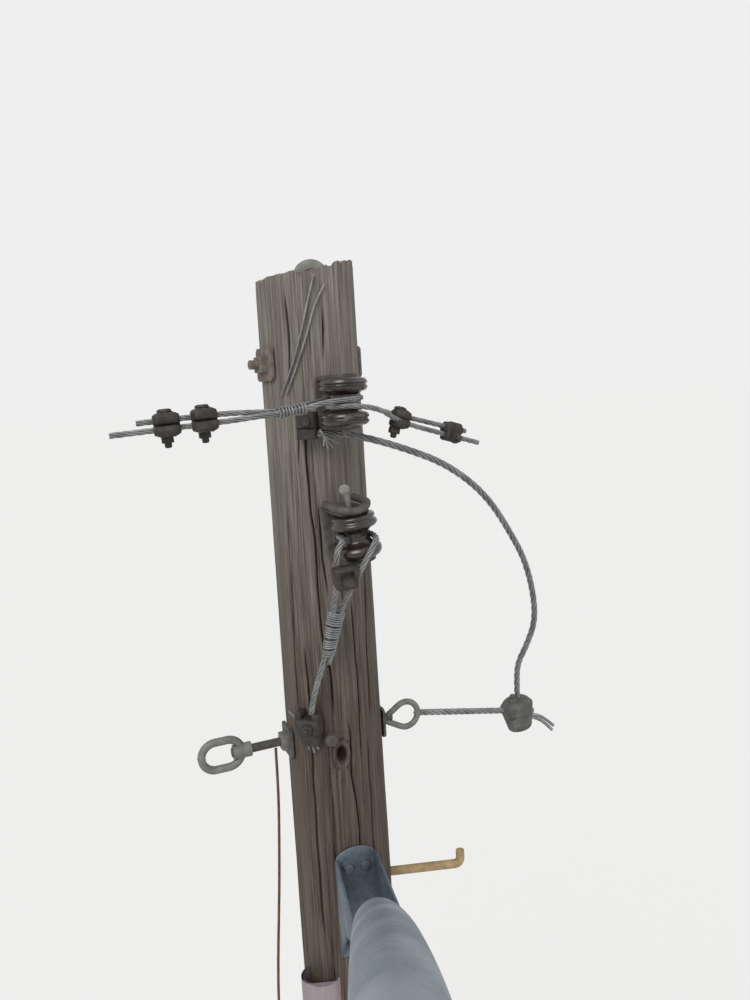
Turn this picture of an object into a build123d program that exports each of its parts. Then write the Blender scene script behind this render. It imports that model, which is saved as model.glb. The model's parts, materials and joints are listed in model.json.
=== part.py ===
from build123d import *
import math
import os

# Weathered wooden light pole with its bare line hardware, a galvanised bracket and
# arm, and a plain luminaire. Millimetres, +Z up, origin at the centre of the ground
# line. The hardware faces -Y, and an azimuth turns from -Y (0) towards +X (90).

# Wooden shaft, from the ground line up
pole_height = 11700.0
pole_top_diameter = 178.0
pole_ground_diameter = 283.0
top_slant = 8.0
top_high_azimuth = 72.0

# Clearances between pieces that seat on each other
seat_gap = 0.3
seat_depth = 2.0

# Heights of the hardware below the top of the shaft
tie_bolt_drop = 146.0
upper_spool_drop = 218.0
mid_spool_drop = 447.0
connector_drop = 800.0
cross_bolt_drop = 842.0
plug_bolt_drop = 820.0
tap_drop = 898.0
first_step_drop = 1150.0
guard_top_gap = 23.0
ground_clearance = 1.0

# Spools and the clevises that hold them
spool_diameter = 79.0
spool_height = 76.0
spool_waist_diameter = 44.0
spool_rim_round = 8.5
spool_groove = 22.0
spool_waist_round = 5.0
spool_stand_off = 165.0
clevis_width = 46.0
clevis_plate = 6.0
pin_diameter = 16.0
pin_head_diameter = 26.0
pin_head_height = 6.0
pin_end_length = 28.0
cotter_wire = 4.0

# Through bolts, square nuts and square washers
bolt_diameter = 16.0
nut_width = 27.0
nut_height = 13.0
washer_width = 57.0
washer_thickness = 5.0
bolt_end_length = 14.0
tie_bolt_azimuth = -78.0
plug_bolt_azimuth = -22.0
plug_washer_diameter = 26.0
plug_bolt_depth = 90.0

# Bare wires and the clamps on them
line_wire_diameter = 9.0
loop_wire_diameter = 8.0
loop_bend_radius = 12.0
loop_lead_radius = 40.0
line_lead_radius = 30.0
loop_leg_spacing = 11.0
jumper_diameter = 11.0
jumper_exit_run = 40.0
tie_wire_diameter = 3.2
tie_wire_lift = 1.0
ground_wire_diameter = 5.2
ground_wire_landing_drop = 1980.0
loop_step = 6.0
clamp_length = 35.0
clamp_width = 38.0
clamp_height = 34.0
clamp_bolt_diameter = 10.0
clamp_nut_width = 17.0
stub_overhang = 22.0
stub_entry_drop = 8.0
stub_exit_drop = 6.0
small_nut_height = 8.0

tap_x = 414.0
tap_width = 66.0
tap_height = 64.0
tap_depth = 42.0
connector_width = 46.0
connector_height_size = 62.0
connector_thickness = 36.0
connector_groove = 5.0
connector_azimuth = -47.0
wire_clamp_azimuth = -25.0
wire_clamp_drop = 254.0
wire_clamp_width = 34.0
wire_clamp_height = 46.0
wire_clamp_depth = 30.0
loop_clamp_width = 38.0
loop_clamp_depth = 26.0
loop_clamp_height = 28.0
serving_wire = 3.2
serving_turns = 12

# Eyes on the cross bolt
eye_rod_diameter = 14.0
right_eye_length = 68.0
right_eye_height = 56.0
right_eye_nose = 20.0
right_eye_hole_length = 34.0
right_eye_hole_height = 26.0
right_eye_hole_shift = 4.0
left_link_length = 88.0
left_link_height = 66.0
left_link_reach = 218.0
right_eye_reach = 150.0

# Eye on the slanted top
top_eye_radius = 31.0
top_eye_thickness = 16.0
top_eye_hole_width = 18.0
top_eye_hole_height = 8.0
top_eye_hole_rise = 10.0
top_eye_shank = 60.0
top_eye_azimuth = -8.0
top_eye_reach = 64.0

# Pole steps, alternating up both sides
step_rod_diameter = 17.0
step_reach = 140.0
step_tip_height = 28.0
step_azimuth = 73.0
step_spacing = 450.0
step_depth = 90.0
lowest_step_height = 2400.0

# Bracket, arm and luminaire
arm_azimuth = -19.4
arm_side_shift = 50.7
arm_diameter = 60.3
arm_wall = 3.9
arm_rise = 38.0
arm_mid_rise = 29.0
arm_end_rise = 4.0
arm_start_drop = 1133.0
arm_start_distance = 126.0
arm_foot_length = 100.0
arm_sweep_radius = 5200.0
arm_bend_radius = 1500.0
arm_end_length = 420.0
bracket_azimuth = -9.0
bracket_side_shift = 23.5
bracket_plate = 4.0
bracket_top_drop = 1030.0
bracket_height = 214.0
bracket_corner = 26.0
bracket_ear_reach = 105.0
bracket_ear_overlap = 28.3
bracket_ear_nose = 15.0
bracket_ear_fall = 109.0
lag_head_radius = 12.0
lag_head_height = 8.0
bracket_bolt_drop = 1066.0
bracket_bolt_spread = 34.0
luminaire_length = 620.0
luminaire_width = 300.0
luminaire_depth = 130.0
lens_length = 300.0
lens_width = 230.0
lens_depth = 60.0
lens_seat = 38.0
arm_socket_depth = 110.0

# Cable guard and ground wire on the shaft
guard_azimuth = -54.0
guard_width = 75.0
guard_depth = 36.0
guard_wall = 4.0
guard_leg = 14.0

pole_top_radius = pole_top_diameter / 2
pole_ground_radius = pole_ground_diameter / 2
bolt_radius = bolt_diameter / 2


def surface_radius(height):
    """Radius of the tapered shaft at a height above the ground."""
    share = height / pole_height
    return pole_ground_radius + (pole_top_radius - pole_ground_radius) * share


def seat_distance(height):
    """Distance from the shaft's axis to the flat that is cut for a plate."""
    return surface_radius(height) - seat_depth


def outward(azimuth):
    """Horizontal direction that points away from the shaft at an azimuth."""
    turn = math.radians(azimuth)
    return Vector(math.sin(turn), -math.cos(turn), 0)


def sideways(azimuth):
    """Horizontal direction to the right of someone who faces the shaft."""
    turn = math.radians(azimuth)
    return Vector(math.cos(turn), math.sin(turn), 0)


def on_shaft(azimuth, height, distance, side=0.0):
    """Plane whose X runs sideways, Y up and Z outward from the shaft."""
    origin = outward(azimuth) * distance + sideways(azimuth) * side + Vector(0, 0, height)
    return Plane(origin=origin, x_dir=sideways(azimuth), z_dir=outward(azimuth))


def rod_between(start, end, diameter):
    """Round rod from one point to another."""
    run = Vector(end) - Vector(start)
    plane = Plane(origin=start, z_dir=run)
    return plane * Cylinder(diameter / 2, run.length, align=(Align.CENTER, Align.CENTER, Align.MIN))


def corner_radii(points, smallest_turn=0.5):
    """Radius of each corner: 0.45 of its shorter run over the tangent of half the turn."""
    radii = []
    for before, corner, after in zip(points, points[1:], points[2:]):
        first = Vector(corner) - Vector(before)
        second = Vector(after) - Vector(corner)
        turn = max(first.get_angle(second), smallest_turn)
        shorter = min(first.length, second.length)
        radii.append(0.45 * shorter / math.tan(math.radians(turn) / 2))
    return radii


def wire(points, diameter, radii=None):
    """Round wire along straight runs that tangent arcs join."""
    path = FilletPolyline(*points, radius=radii or corner_radii(points))
    section = Plane(origin=path @ 0, z_dir=path % 0) * Circle(diameter / 2)
    return sweep(section, path=path)


def seat_flat(azimuth, height, width, length, side=0.0):
    """Block that cuts the flat on which a plate of this width and length seats."""
    plane = on_shaft(azimuth, height, seat_distance(height), side)
    return plane * Box(width, length, seat_depth * 12, align=(Align.CENTER, Align.CENTER, Align.MIN))


def bolt_hole(azimuth, height, diameter, depth=0.0, side=0.0):
    """Hole for a bolt: right through the shaft, or blind to a depth."""
    reach = surface_radius(height) + 2 * seat_depth
    length = depth or 2 * reach
    plane = on_shaft(azimuth, height, reach, side)
    hole = Cylinder(diameter / 2 + seat_gap, length + 2 * seat_depth,
                    align=(Align.CENTER, Align.CENTER, Align.MAX))
    return plane * hole


def square_washer(azimuth, height, side=0.0):
    """Square washer that lies on its flat, with a hole for the bolt."""
    plate = Box(washer_width, washer_width, washer_thickness,
                align=(Align.CENTER, Align.CENTER, Align.MIN))
    plate = chamfer(plate.edges().filter_by(Axis.Z), washer_thickness)
    plate -= Cylinder(bolt_radius + seat_gap, washer_width)
    return on_shaft(azimuth, height, seat_distance(height), side) * plate


def square_nut(azimuth, height, distance):
    """Square nut with its corners eased, outward from a distance."""
    nut = Box(nut_width, nut_width, nut_height, align=(Align.CENTER, Align.CENTER, Align.MIN))
    nut = chamfer(nut.faces().sort_by(Axis.Z)[-1].edges(), nut_height / 8)
    nut -= Cylinder(bolt_radius + seat_gap, 4 * nut_height)
    return on_shaft(azimuth, height, distance) * nut


def through_bolt(azimuth, height, head_distance, end_distance):
    """Bolt whose square head lies at one azimuth and whose end comes out opposite."""
    head = Box(nut_width, nut_width, nut_height * 0.75, align=(Align.CENTER, Align.CENTER, Align.MIN))
    head = chamfer(head.faces().sort_by(Axis.Z)[-1].edges(), nut_height / 8)
    shank = Cylinder(bolt_radius, head_distance + end_distance,
                     align=(Align.CENTER, Align.CENTER, Align.MAX))
    return on_shaft(azimuth, height, head_distance) * (head + shank)


# Heights that several pieces share
tie_bolt_height = pole_height - tie_bolt_drop
upper_spool_height = pole_height - upper_spool_drop
mid_spool_height = pole_height - mid_spool_drop
connector_height = pole_height - connector_drop
cross_bolt_height = pole_height - cross_bolt_drop
plug_bolt_height = pole_height - plug_bolt_drop
guard_top_height = pole_height - bracket_top_drop - bracket_height - guard_top_gap
bracket_top_height = pole_height - bracket_top_drop
bracket_bolt_height = pole_height - bracket_bolt_drop
bracket_centre_height = bracket_top_height - bracket_height / 2
bracket_low_bolt_height = bracket_top_height - bracket_height + (bracket_bolt_drop - bracket_top_drop)
arm_skew = math.radians(bracket_azimuth - arm_azimuth)
bracket_inner_width = (arm_diameter / math.cos(arm_skew) + bracket_ear_overlap * math.tan(arm_skew)
                       + 2 * seat_gap)
bracket_width = bracket_inner_width + 2 * bracket_plate
spool_heights = (upper_spool_height, mid_spool_height)
tap_centre_height = pole_height - tap_drop


def step_heights(first):
    """Heights of the steps on one side, from its first one down."""
    count = int((first - lowest_step_height) / (2 * step_spacing)) + 1
    return [first - 2 * step_spacing * index for index in range(count)]


right_steps = step_heights(pole_height - first_step_drop)
left_steps = step_heights(pole_height - first_step_drop - step_spacing)


def pole_shaft():
    """Tapered shaft with its slanted top, its bolt holes and the flats for plates."""
    rise = pole_top_radius * math.tan(math.radians(top_slant))
    full_height = pole_height + rise
    shaft = Cone(pole_ground_radius, surface_radius(full_height), full_height,
                 align=(Align.CENTER, Align.CENTER, Align.MIN))
    tilt = math.radians(top_slant)
    normal = Vector(0, 0, math.cos(tilt)) - outward(top_high_azimuth) * math.sin(tilt)
    top = Plane(origin=(0, 0, pole_height), z_dir=normal)
    shaft -= top * Box(3 * pole_top_radius, 3 * pole_top_radius, 3 * pole_top_radius,
                       align=(Align.CENTER, Align.CENTER, Align.MIN))
    for azimuth in (tie_bolt_azimuth, tie_bolt_azimuth + 180):
        shaft -= seat_flat(azimuth, tie_bolt_height, washer_width, washer_width)
    shaft -= bolt_hole(tie_bolt_azimuth, tie_bolt_height, bolt_diameter)
    for height in spool_heights:
        shaft -= seat_flat(0, height, clevis_width, spool_height + 2 * clevis_plate + 2 * seat_gap)
        shaft -= seat_flat(180, height, washer_width, washer_width)
        shaft -= bolt_hole(0, height, bolt_diameter)
    for azimuth in (90, -90):
        shaft -= seat_flat(azimuth, cross_bolt_height, washer_width, washer_width)
    shaft -= bolt_hole(90, cross_bolt_height, bolt_diameter)
    shaft -= bolt_hole(plug_bolt_azimuth, plug_bolt_height, bolt_diameter, plug_bolt_depth)
    shaft -= seat_flat(plug_bolt_azimuth, plug_bolt_height, plug_washer_diameter, plug_washer_diameter)
    shaft -= seat_flat(bracket_azimuth, bracket_centre_height, bracket_width, bracket_height,
                       bracket_side_shift)
    shaft -= seat_flat(connector_azimuth, connector_height, connector_width, connector_height_size)
    shaft -= seat_flat(wire_clamp_azimuth, pole_height - wire_clamp_drop, wire_clamp_width, wire_clamp_height)
    eye_plane = top_eye()[1]
    shaft -= eye_plane * Rot(90, 0, 0) * Cylinder(bolt_radius + seat_gap, 2 * (top_eye_shank + seat_gap))
    for heights, azimuth in ((right_steps, step_azimuth), (left_steps, step_azimuth - 180)):
        for height in heights:
            shaft -= bolt_hole(azimuth, height, step_rod_diameter, step_depth)
    for height, side in bracket_bolt_places():
        shaft -= bolt_hole(bracket_azimuth, height, bolt_diameter, plug_bolt_depth, side)
    return shaft


def spool():
    """Porcelain spool: a double rim at each end and a waist that holds the wire."""
    rim = spool_diameter / 2
    half = spool_height / 2
    waist = spool_waist_diameter / 2
    bore = pin_diameter / 2 + seat_gap
    edge = spool_rim_round
    flank = half - edge
    groove = edge * 0.55
    shoulder = half - 2 * edge - groove
    diagonal = edge * math.sqrt(0.5)
    with BuildSketch(Plane.XZ) as profile:
        with BuildLine():
            Line((bore, 0), (bore, half))
            Line((bore, half), (rim - edge, half))
            ThreePointArc((rim - edge, half), (rim - edge + diagonal, flank + diagonal), (rim, flank))
            ThreePointArc((rim, flank), (rim - groove / 2, flank - groove / 2), (rim, flank - groove))
            ThreePointArc((rim, flank - groove), (rim - edge * 0.4, shoulder + edge * 0.2),
                          (rim - edge, shoulder))
            Line((rim - edge, shoulder),
                 (waist + spool_waist_round, spool_groove / 2 + spool_waist_round * 0.6))
            ThreePointArc((waist + spool_waist_round, spool_groove / 2 + spool_waist_round * 0.6),
                          (waist + spool_waist_round * 0.25, spool_groove / 2 + spool_waist_round * 0.2),
                          (waist, spool_groove / 2))
            Polyline((waist, spool_groove / 2), (waist, 0), (bore, 0))
        make_face()
    half_spool = revolve(profile.sketch, axis=Axis.Z)
    return half_spool + mirror(half_spool, about=Plane.XY)


def clevis(height):
    """Bent strap that carries a spool between its two ears."""
    back = seat_distance(height)
    ear_round = clevis_width / 2
    depth = spool_stand_off + ear_round - back
    inner = spool_height + 2 * seat_gap
    strap = Box(clevis_width, depth, inner + 2 * clevis_plate, align=(Align.CENTER, Align.MAX, Align.CENTER))
    strap = fillet(strap.edges().filter_by(Axis.X).group_by(Axis.Y)[-1], 2 * clevis_plate)
    space = Box(2 * clevis_width, depth, inner, align=(Align.CENTER, Align.MAX, Align.CENTER))
    space = fillet(space.edges().filter_by(Axis.X).group_by(Axis.Y)[-1], clevis_plate)
    strap -= Pos(0, -clevis_plate, 0) * space
    plan = Pos(0, -(depth - ear_round) / 2) * Rectangle(clevis_width, depth - ear_round)
    plan += Pos(0, -(depth - ear_round)) * Circle(ear_round)
    strap &= extrude(plan, 2 * inner, both=True)
    strap -= Pos(0, back - spool_stand_off, 0) * Cylinder(pin_diameter / 2 + seat_gap, 2 * inner)
    strap -= Rot(90, 0, 0) * Cylinder(bolt_radius + seat_gap, 4 * clevis_plate)
    return Pos(0, -back, height) * strap


def clevis_pin(height):
    """Pin through the ears and the spool, with its head below and a cotter above."""
    span = spool_height + 2 * seat_gap + 2 * clevis_plate
    radius = pin_diameter / 2
    shank = Cylinder(radius, span + pin_end_length, align=(Align.CENTER, Align.CENTER, Align.MIN))
    shank = chamfer(shank.edges().group_by(Axis.Z)[-1], radius / 5)
    head = Cylinder(pin_head_diameter / 2, pin_head_height, align=(Align.CENTER, Align.CENTER, Align.MAX))
    head = fillet(head.edges().group_by(Axis.Z)[0], pin_head_height / 3)
    ring = Pos(radius, 0, span + pin_end_length / 2)
    ring *= Rot(90, 0, 0) * Torus(radius + cotter_wire / 2, cotter_wire / 2)
    return Pos(0, -spool_stand_off, height - span / 2) * (shank + head + ring)


def clevis_bolt(height):
    """Through bolt behind a spool: a low head in the clevis and a long end behind."""
    head_at = seat_distance(height) + clevis_plate
    tail = seat_distance(height) + washer_thickness + nut_height + bolt_end_length
    return through_bolt(0, height, head_at, tail)


def back_nut(azimuth, height):
    """Square nut on top of the square washer."""
    return square_nut(azimuth, height, seat_distance(height) + washer_thickness)


def tie_bolt():
    """Through bolt high on the shaft, its end standing out on the left."""
    head_at = seat_distance(tie_bolt_height) + washer_thickness
    tail = head_at + nut_height + bolt_end_length
    return through_bolt(tie_bolt_azimuth + 180, tie_bolt_height, head_at, tail)


# Wire routes, with heights given below the top of the shaft
def below_top(points):
    """Points of a route whose heights are measured from the top of the shaft."""
    return [(x, y, pole_height + z) for x, y, z in points]


def turn_corners(height, side):
    """Front and back corner of a line wire's turn round a waist, on one side."""
    ring = spool_waist_diameter / 2 + line_wire_diameter / 2 + seat_gap
    return [(side * ring, -spool_stand_off - ring, height), (side * ring, -spool_stand_off + ring, height)]


def turn_radius():
    """Radius of a wire's turn round a waist."""
    return (spool_waist_diameter / 2 + line_wire_diameter / 2 + seat_gap) * 0.98


def left_wire_route():
    """Main wire in from the left, round the upper spool and back as its tail."""
    loop = turn_corners(upper_spool_height + loop_step, 1)
    front, back = loop[0][1], loop[1][1]
    main = below_top([(-365, -182, -247), (-205, -182, -237), (-40, front, -216)])
    tail = below_top([(-40, back, -214), (-205, -182, -224), (-327, -182, -232)])
    return main + loop + tail


def left_wire(extra=0.0):
    """Left dead end as one bare wire, or the room for it when it is made fatter."""
    route = left_wire_route()
    radii = corner_radii(route)
    radii[2] = radii[3] = turn_radius()
    return wire(route, line_wire_diameter + extra, radii)


def right_wire_route():
    """Main wire out to the right from its turn round the upper spool."""
    loop = turn_corners(upper_spool_height - loop_step, -1)
    front, back = loop[0][1], loop[1][1]
    main = below_top([(252, -154, -303), (190, -158, -285), (92, -170, -256), (46, front, -228)])
    tail = below_top([(46, back, -226), (80, -156, -240), (190, -158, -271), (226, -156, -281)])
    return main + loop + tail


def right_wire(extra=0.0):
    """Right dead end as one bare wire, or the room for it when it is made fatter."""
    route = right_wire_route()
    radii = corner_radii(route)
    radii[3] = radii[4] = turn_radius()
    radii[2] = radii[5] = line_lead_radius
    return wire(route, line_wire_diameter + extra, radii)


def between(start, end, x):
    """Point at an X on the straight run from one point to another."""
    share = (x - start[0]) / (end[0] - start[0])
    return Vector(start) + (Vector(end) - Vector(start)) * share


def parallel_clamp(lower_run, upper_run, x, turned):
    """Bolted clamp on two wires: its body, its bolt and the nut, upright or turned."""
    lower = between(*lower_run, x)
    upper = between(*upper_run, x)
    run = (Vector(lower_run[1]) - Vector(lower_run[0])).normalized()
    run = run if run.X > 0 else run * -1
    body = Box(clamp_length, clamp_width, clamp_height)
    body = fillet(body.edges().filter_by(Axis.X), clamp_height / 4)
    body = fillet(body.edges().filter_by(Axis.Z), clamp_length / 12)
    offset = clamp_width / 2 - clamp_nut_width / 2
    half = clamp_height / 2
    nut = Pos(0, offset, -half) * extrude(RegularPolygon(clamp_nut_width / 2, 6), -clamp_bolt_diameter)
    stem = Pos(0, offset, -half) * Cylinder(clamp_bolt_diameter / 2, 1.9 * clamp_bolt_diameter,
                                            align=(Align.CENTER, Align.CENTER, Align.MAX))
    cap = Pos(0, offset, half) * Cylinder(clamp_nut_width / 2, clamp_bolt_diameter / 2,
                                          align=(Align.CENTER, Align.CENTER, Align.MIN))
    clamp = body + nut + stem + cap
    if turned:
        clamp = Rot(-90, 0, 0) * clamp
    side = Vector(0, 0, 1).cross(run)
    return Plane(origin=(lower + upper) * 0.5, x_dir=run, z_dir=run.cross(side)) * clamp


def left_clamp(x):
    """Clamp on the left main wire and its tail."""
    route = left_wire_route()
    return parallel_clamp(route[:2], route[6:8], x, False) - left_wire(2 * seat_gap)


def right_clamp(x, turned):
    """Clamp on the right main wire and its tail."""
    route = right_wire_route()
    main = route[1:3] if x < route[1][0] else route[:2]
    tail = route[7:9] if x < route[8][0] else route[8:10]
    return parallel_clamp(main, tail, x, turned) - right_wire(2 * seat_gap)


def jumper_route():
    """Points of the jumper, from the clamp on the shaft down to the tap clamp."""
    start = on_shaft(wire_clamp_azimuth, pole_height - wire_clamp_drop - wire_clamp_height / 3,
                     seat_distance(pole_height - wire_clamp_drop) + wire_clamp_depth / 2,
                     wire_clamp_width / 2).origin
    leaving = start + sideways(wire_clamp_azimuth) * jumper_exit_run
    free = [(58, -146, -284), (112, -146, -303), (185, -135, -332), (252, -120, -374),
            (303, -107, -421), (348, -91, -479), (396, -70, -546), (425, -54, -620), (437, -42, -688),
            (426, -26, -741), (411, -10, -786)]
    top = tap_centre_height + tap_height / 2
    arriving = [(tap_x, 0, top + jumper_exit_run), (tap_x, 0, top)]
    return [tuple(start), tuple(leaving)] + below_top(free) + arriving


def jumper():
    """Bare twisted jumper as one plain tube."""
    route = jumper_route()
    radii = corner_radii(route)
    print("jumper radii in mm:", [round(radius, 1) for radius in radii])
    return wire(route, jumper_diameter, radii)


def wire_clamp():
    """Blocky clamp low on the front of the shaft, where the jumper starts."""
    height = pole_height - wire_clamp_drop
    block = Box(wire_clamp_width, wire_clamp_height, wire_clamp_depth,
                align=(Align.CENTER, Align.CENTER, Align.MIN))
    block = fillet(block.edges().filter_by(Axis.Y), wire_clamp_depth / 5)
    nut = Pos(0, wire_clamp_height / 6, wire_clamp_depth) * extrude(
        RegularPolygon(clamp_nut_width / 2, 6), small_nut_height)
    slot = Pos(0, -wire_clamp_height * 0.1, wire_clamp_depth) * Box(wire_clamp_width * 2, 3, 8)
    plane = on_shaft(wire_clamp_azimuth, height, seat_distance(height))
    return plane * (block + nut - slot)


def stub_ends():
    """Ends of the taut strand between the right eye and just past the tap clamp."""
    near = Vector(right_eye_reach + right_eye_length / 2 + seat_gap, 0, cross_bolt_height - stub_exit_drop)
    far = Vector(tap_x + tap_width / 2 + stub_overhang, 0, tap_centre_height - stub_entry_drop)
    return near, far


def messenger_stub():
    """Short taut strand from the right eye through the tap clamp."""
    near, far = stub_ends()
    return rod_between(near, far, line_wire_diameter)


def tap_clamp():
    """Cast tap clamp with two jaws, a bolt and its nut."""
    body = Box(tap_width, tap_depth, tap_height)
    body = fillet(body.edges().filter_by(Axis.Y), tap_height / 5)
    body -= Pos(0, -tap_depth / 2, tap_height * 0.1) * Box(tap_width * 2, tap_depth / 3, 4)
    nut = Rot(90, 0, 0) * extrude(RegularPolygon(lag_head_radius, 6), tap_depth / 2 + small_nut_height)
    near, far = stub_ends()
    clamp = Pos(tap_x, 0, tap_centre_height) * (body + nut)
    return clamp - rod_between(near, far, line_wire_diameter + 2 * seat_gap)


def mid_loop_route():
    """Strand up to the mid spool, round its waist and back down beside itself."""
    ring = spool_waist_diameter / 2 + loop_wire_diameter / 2 + seat_gap
    back = -spool_stand_off + ring
    front = -spool_stand_off - spool_diameter / 2 - loop_wire_diameter
    connector_top = connector_drop - connector_height_size / 2
    up = below_top([(-74, -88, -connector_top), (-74, -88, 28 - connector_top), (-47, -114, -668),
                    (-31, -148, -567), (-21, -190, -522), (-21, front + 3, -497)])
    round_waist = [(-ring, front, mid_spool_height - 2), (-ring, back, mid_spool_height),
                   (ring, back, mid_spool_height), (ring, front, mid_spool_height - 2)]
    down = below_top([(-9, front + 3, -497), (-9, -190, -522), (-20, -148, -567), (-36, -114, -668)])
    return up + round_waist + down


def mid_loop(extra=0.0):
    """Dead-end strand of the mid spool, or the room for it when it is made fatter."""
    route = mid_loop_route()
    radii = corner_radii(route)
    ring = spool_waist_diameter / 2 + loop_wire_diameter / 2 + seat_gap
    radii[6] = radii[7] = ring * 0.98
    radii[5] = radii[8] = loop_bend_radius
    radii[4] = radii[9] = loop_bend_radius
    radii[1] = radii[2] = radii[11] = loop_lead_radius
    return wire(route, loop_wire_diameter + extra, radii)


def mid_loop_clamp():
    """Small bolted clamp that holds the two legs of the loop together."""
    body = Box(loop_clamp_width, loop_clamp_depth, loop_clamp_height)
    body = fillet(body.edges().filter_by(Axis.Z), loop_clamp_depth / 5)
    nut = Rot(90, 0, 0) * extrude(
        RegularPolygon(clamp_nut_width / 2, 6), loop_clamp_depth / 2 + small_nut_height)
    clamp = Pos(-15, -193, pole_height - 511) * (body + nut)
    return clamp - mid_loop(2 * seat_gap)


def mid_serving():
    """Turns of tie wire that bind the two legs below the clamp."""
    route = mid_loop_route()
    top = (Vector(route[3]) + Vector(route[12])) * 0.5
    low = (Vector(route[2]) + Vector(route[13])) * 0.5
    run = low - top
    first = top + run * 0.16
    last = top + run * 0.84
    turns = []
    for index in range(serving_turns):
        share = index / (serving_turns - 1)
        plane = Plane(origin=first + (last - first) * share, x_dir=(1, 0, 0), z_dir=run)
        room = loop_wire_diameter / 2 + seat_gap
        ring = SlotCenterToCenter(loop_leg_spacing, 2 * (room + serving_wire))
        ring -= SlotCenterToCenter(loop_leg_spacing, 2 * room)
        turns.append(plane * extrude(ring, serving_wire / 2, both=True))
    return turns


def neutral_connector():
    """Bolted connector on the front left of the shaft."""
    block = Box(connector_width, connector_height_size, connector_thickness,
                align=(Align.CENTER, Align.CENTER, Align.MIN))
    block = fillet(block.edges().filter_by(Axis.Z), connector_width / 6)
    block = fillet(block.faces().sort_by(Axis.Z)[-1].edges(), connector_thickness / 6)
    groove = Pos(0, -connector_height_size * 0.2, connector_thickness) * Box(
        connector_groove, connector_height_size * 0.7, 2.8 * connector_groove)
    nut = Pos(connector_width / 5, connector_height_size / 6, connector_thickness) * extrude(
        RegularPolygon(clamp_nut_width / 2, 6), small_nut_height)
    plane = on_shaft(connector_azimuth, connector_height, seat_distance(connector_height))
    return plane * (block - groove + nut)


def top_eye():
    """Half-round eye that stands on the slanted top, with its shank in the wood."""
    tilt = math.radians(top_slant)
    normal = Vector(0, 0, math.cos(tilt)) - outward(top_high_azimuth) * math.sin(tilt)
    across = outward(top_high_azimuth) * math.cos(tilt) + Vector(0, 0, math.sin(tilt))
    foot = outward(top_eye_azimuth) * top_eye_reach
    foot += Vector(0, 0, pole_height + foot.dot(outward(top_high_azimuth)) * math.tan(tilt))
    half_round = Circle(top_eye_radius) & Pos(0, top_eye_radius) * Rectangle(
        2 * top_eye_radius, 2 * top_eye_radius)
    half_round -= Pos(0, top_eye_hole_rise) * SlotOverall(top_eye_hole_width, top_eye_hole_height)
    eye = extrude(half_round, top_eye_thickness / 2, both=True)
    eye = fillet(eye.edges().filter_by(GeomType.CIRCLE).sort_by(Axis.Y)[-2:], top_eye_thickness / 3)
    shank = Rot(90, 0, 0) * Cylinder(bolt_radius, top_eye_shank,
                                     align=(Align.CENTER, Align.CENTER, Align.MIN))
    plane = Plane(origin=foot, x_dir=across, z_dir=across.cross(normal))
    return plane * (eye + shank), plane


def tie_wires():
    """Two thin wires from the front of the top down to the upper spool's wires."""
    seat = tie_wire_diameter / 2 + seat_gap + tie_wire_lift
    wires = []
    for drops, azimuths in (((4, 45, 92, 145, 200), (-8, -16, -24, -35, -52)),
                            ((20, 55, 100, 150, 200), (3, -10, -19, -31, -46))):
        route = []
        for drop, azimuth in zip(drops, azimuths):
            height = pole_height - drop
            route.append(tuple(outward(azimuth) * (surface_radius(height) + seat) + Vector(0, 0, height)))
        wires.append(wire(route, tie_wire_diameter))
    return wires


def teardrop(length, height, nose):
    """Drop outline with its narrow end towards -X, both ends round."""
    broad = Pos((length - height) / 2, 0) * Circle(height / 2)
    narrow = Pos((nose - length) / 2, 0) * Circle(nose / 2)
    return make_hull(broad.edges() + narrow.edges())


def eye_right():
    """Drop-shaped eye on the right end of the cross bolt."""
    rod = eye_rod_diameter / 2
    ring = teardrop(right_eye_length, right_eye_height, right_eye_nose)
    ring -= Pos(-right_eye_hole_shift, 0) * teardrop(
        right_eye_hole_length, right_eye_hole_height, right_eye_hole_height / 2)
    eye = extrude(ring, rod, both=True)
    eye = fillet(eye.edges(), rod * 0.55)
    eye = Rot(90, 0, 0) * eye
    inner_end = right_eye_reach - right_eye_length / 2
    seat = seat_distance(cross_bolt_height) + washer_thickness
    neck = Pos(seat, 0, 0) * Rot(0, 90, 0) * Cone(nut_width / 2, rod * 1.1, inner_end - seat + rod,
                                                align=(Align.CENTER, Align.CENTER, Align.MIN))
    eye = Pos(right_eye_reach, 0, 0) * eye + neck
    eye -= Rot(0, 90, 0) * Cylinder(bolt_radius + seat_gap, 2 * (inner_end + rod / 2 + seat_gap))
    return Pos(0, 0, cross_bolt_height) * eye


def link_left():
    """Oval forged link at the left end of the cross bolt."""
    rod = eye_rod_diameter / 2
    ring = SlotOverall(left_link_length, left_link_height)
    ring -= SlotOverall(left_link_length - 2 * eye_rod_diameter, left_link_height - 2 * eye_rod_diameter)
    link = extrude(ring, rod, both=True)
    link = fillet(link.edges(), rod * 0.85)
    link = Pos(-left_link_reach, 0, 0) * Rot(90, 0, 0) * link
    boss = Pos(-left_link_reach + left_link_length / 2 - rod, 0, 0) * Rot(0, 90, 0) * Cylinder(
        nut_width / 2, 2.4 * eye_rod_diameter)
    link += boss
    link -= Rot(0, -90, 0) * Cylinder(bolt_radius + seat_gap, 2 * left_link_reach)
    link += Pos(-left_link_reach - left_link_length / 2 + rod, 0, 0) * Rot(90, 0, 0) * Cylinder(
        rod, eye_rod_diameter * 0.9)
    return Pos(0, 0, cross_bolt_height) * link


def cross_bolt():
    """Threaded rod along X that carries the right eye and the left link."""
    left_end = -(left_link_reach - left_link_length / 5)
    right_end = right_eye_reach - right_eye_length / 2 + eye_rod_diameter / 4
    return rod_between((left_end, 0, cross_bolt_height), (right_end, 0, cross_bolt_height), bolt_diameter)


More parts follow.
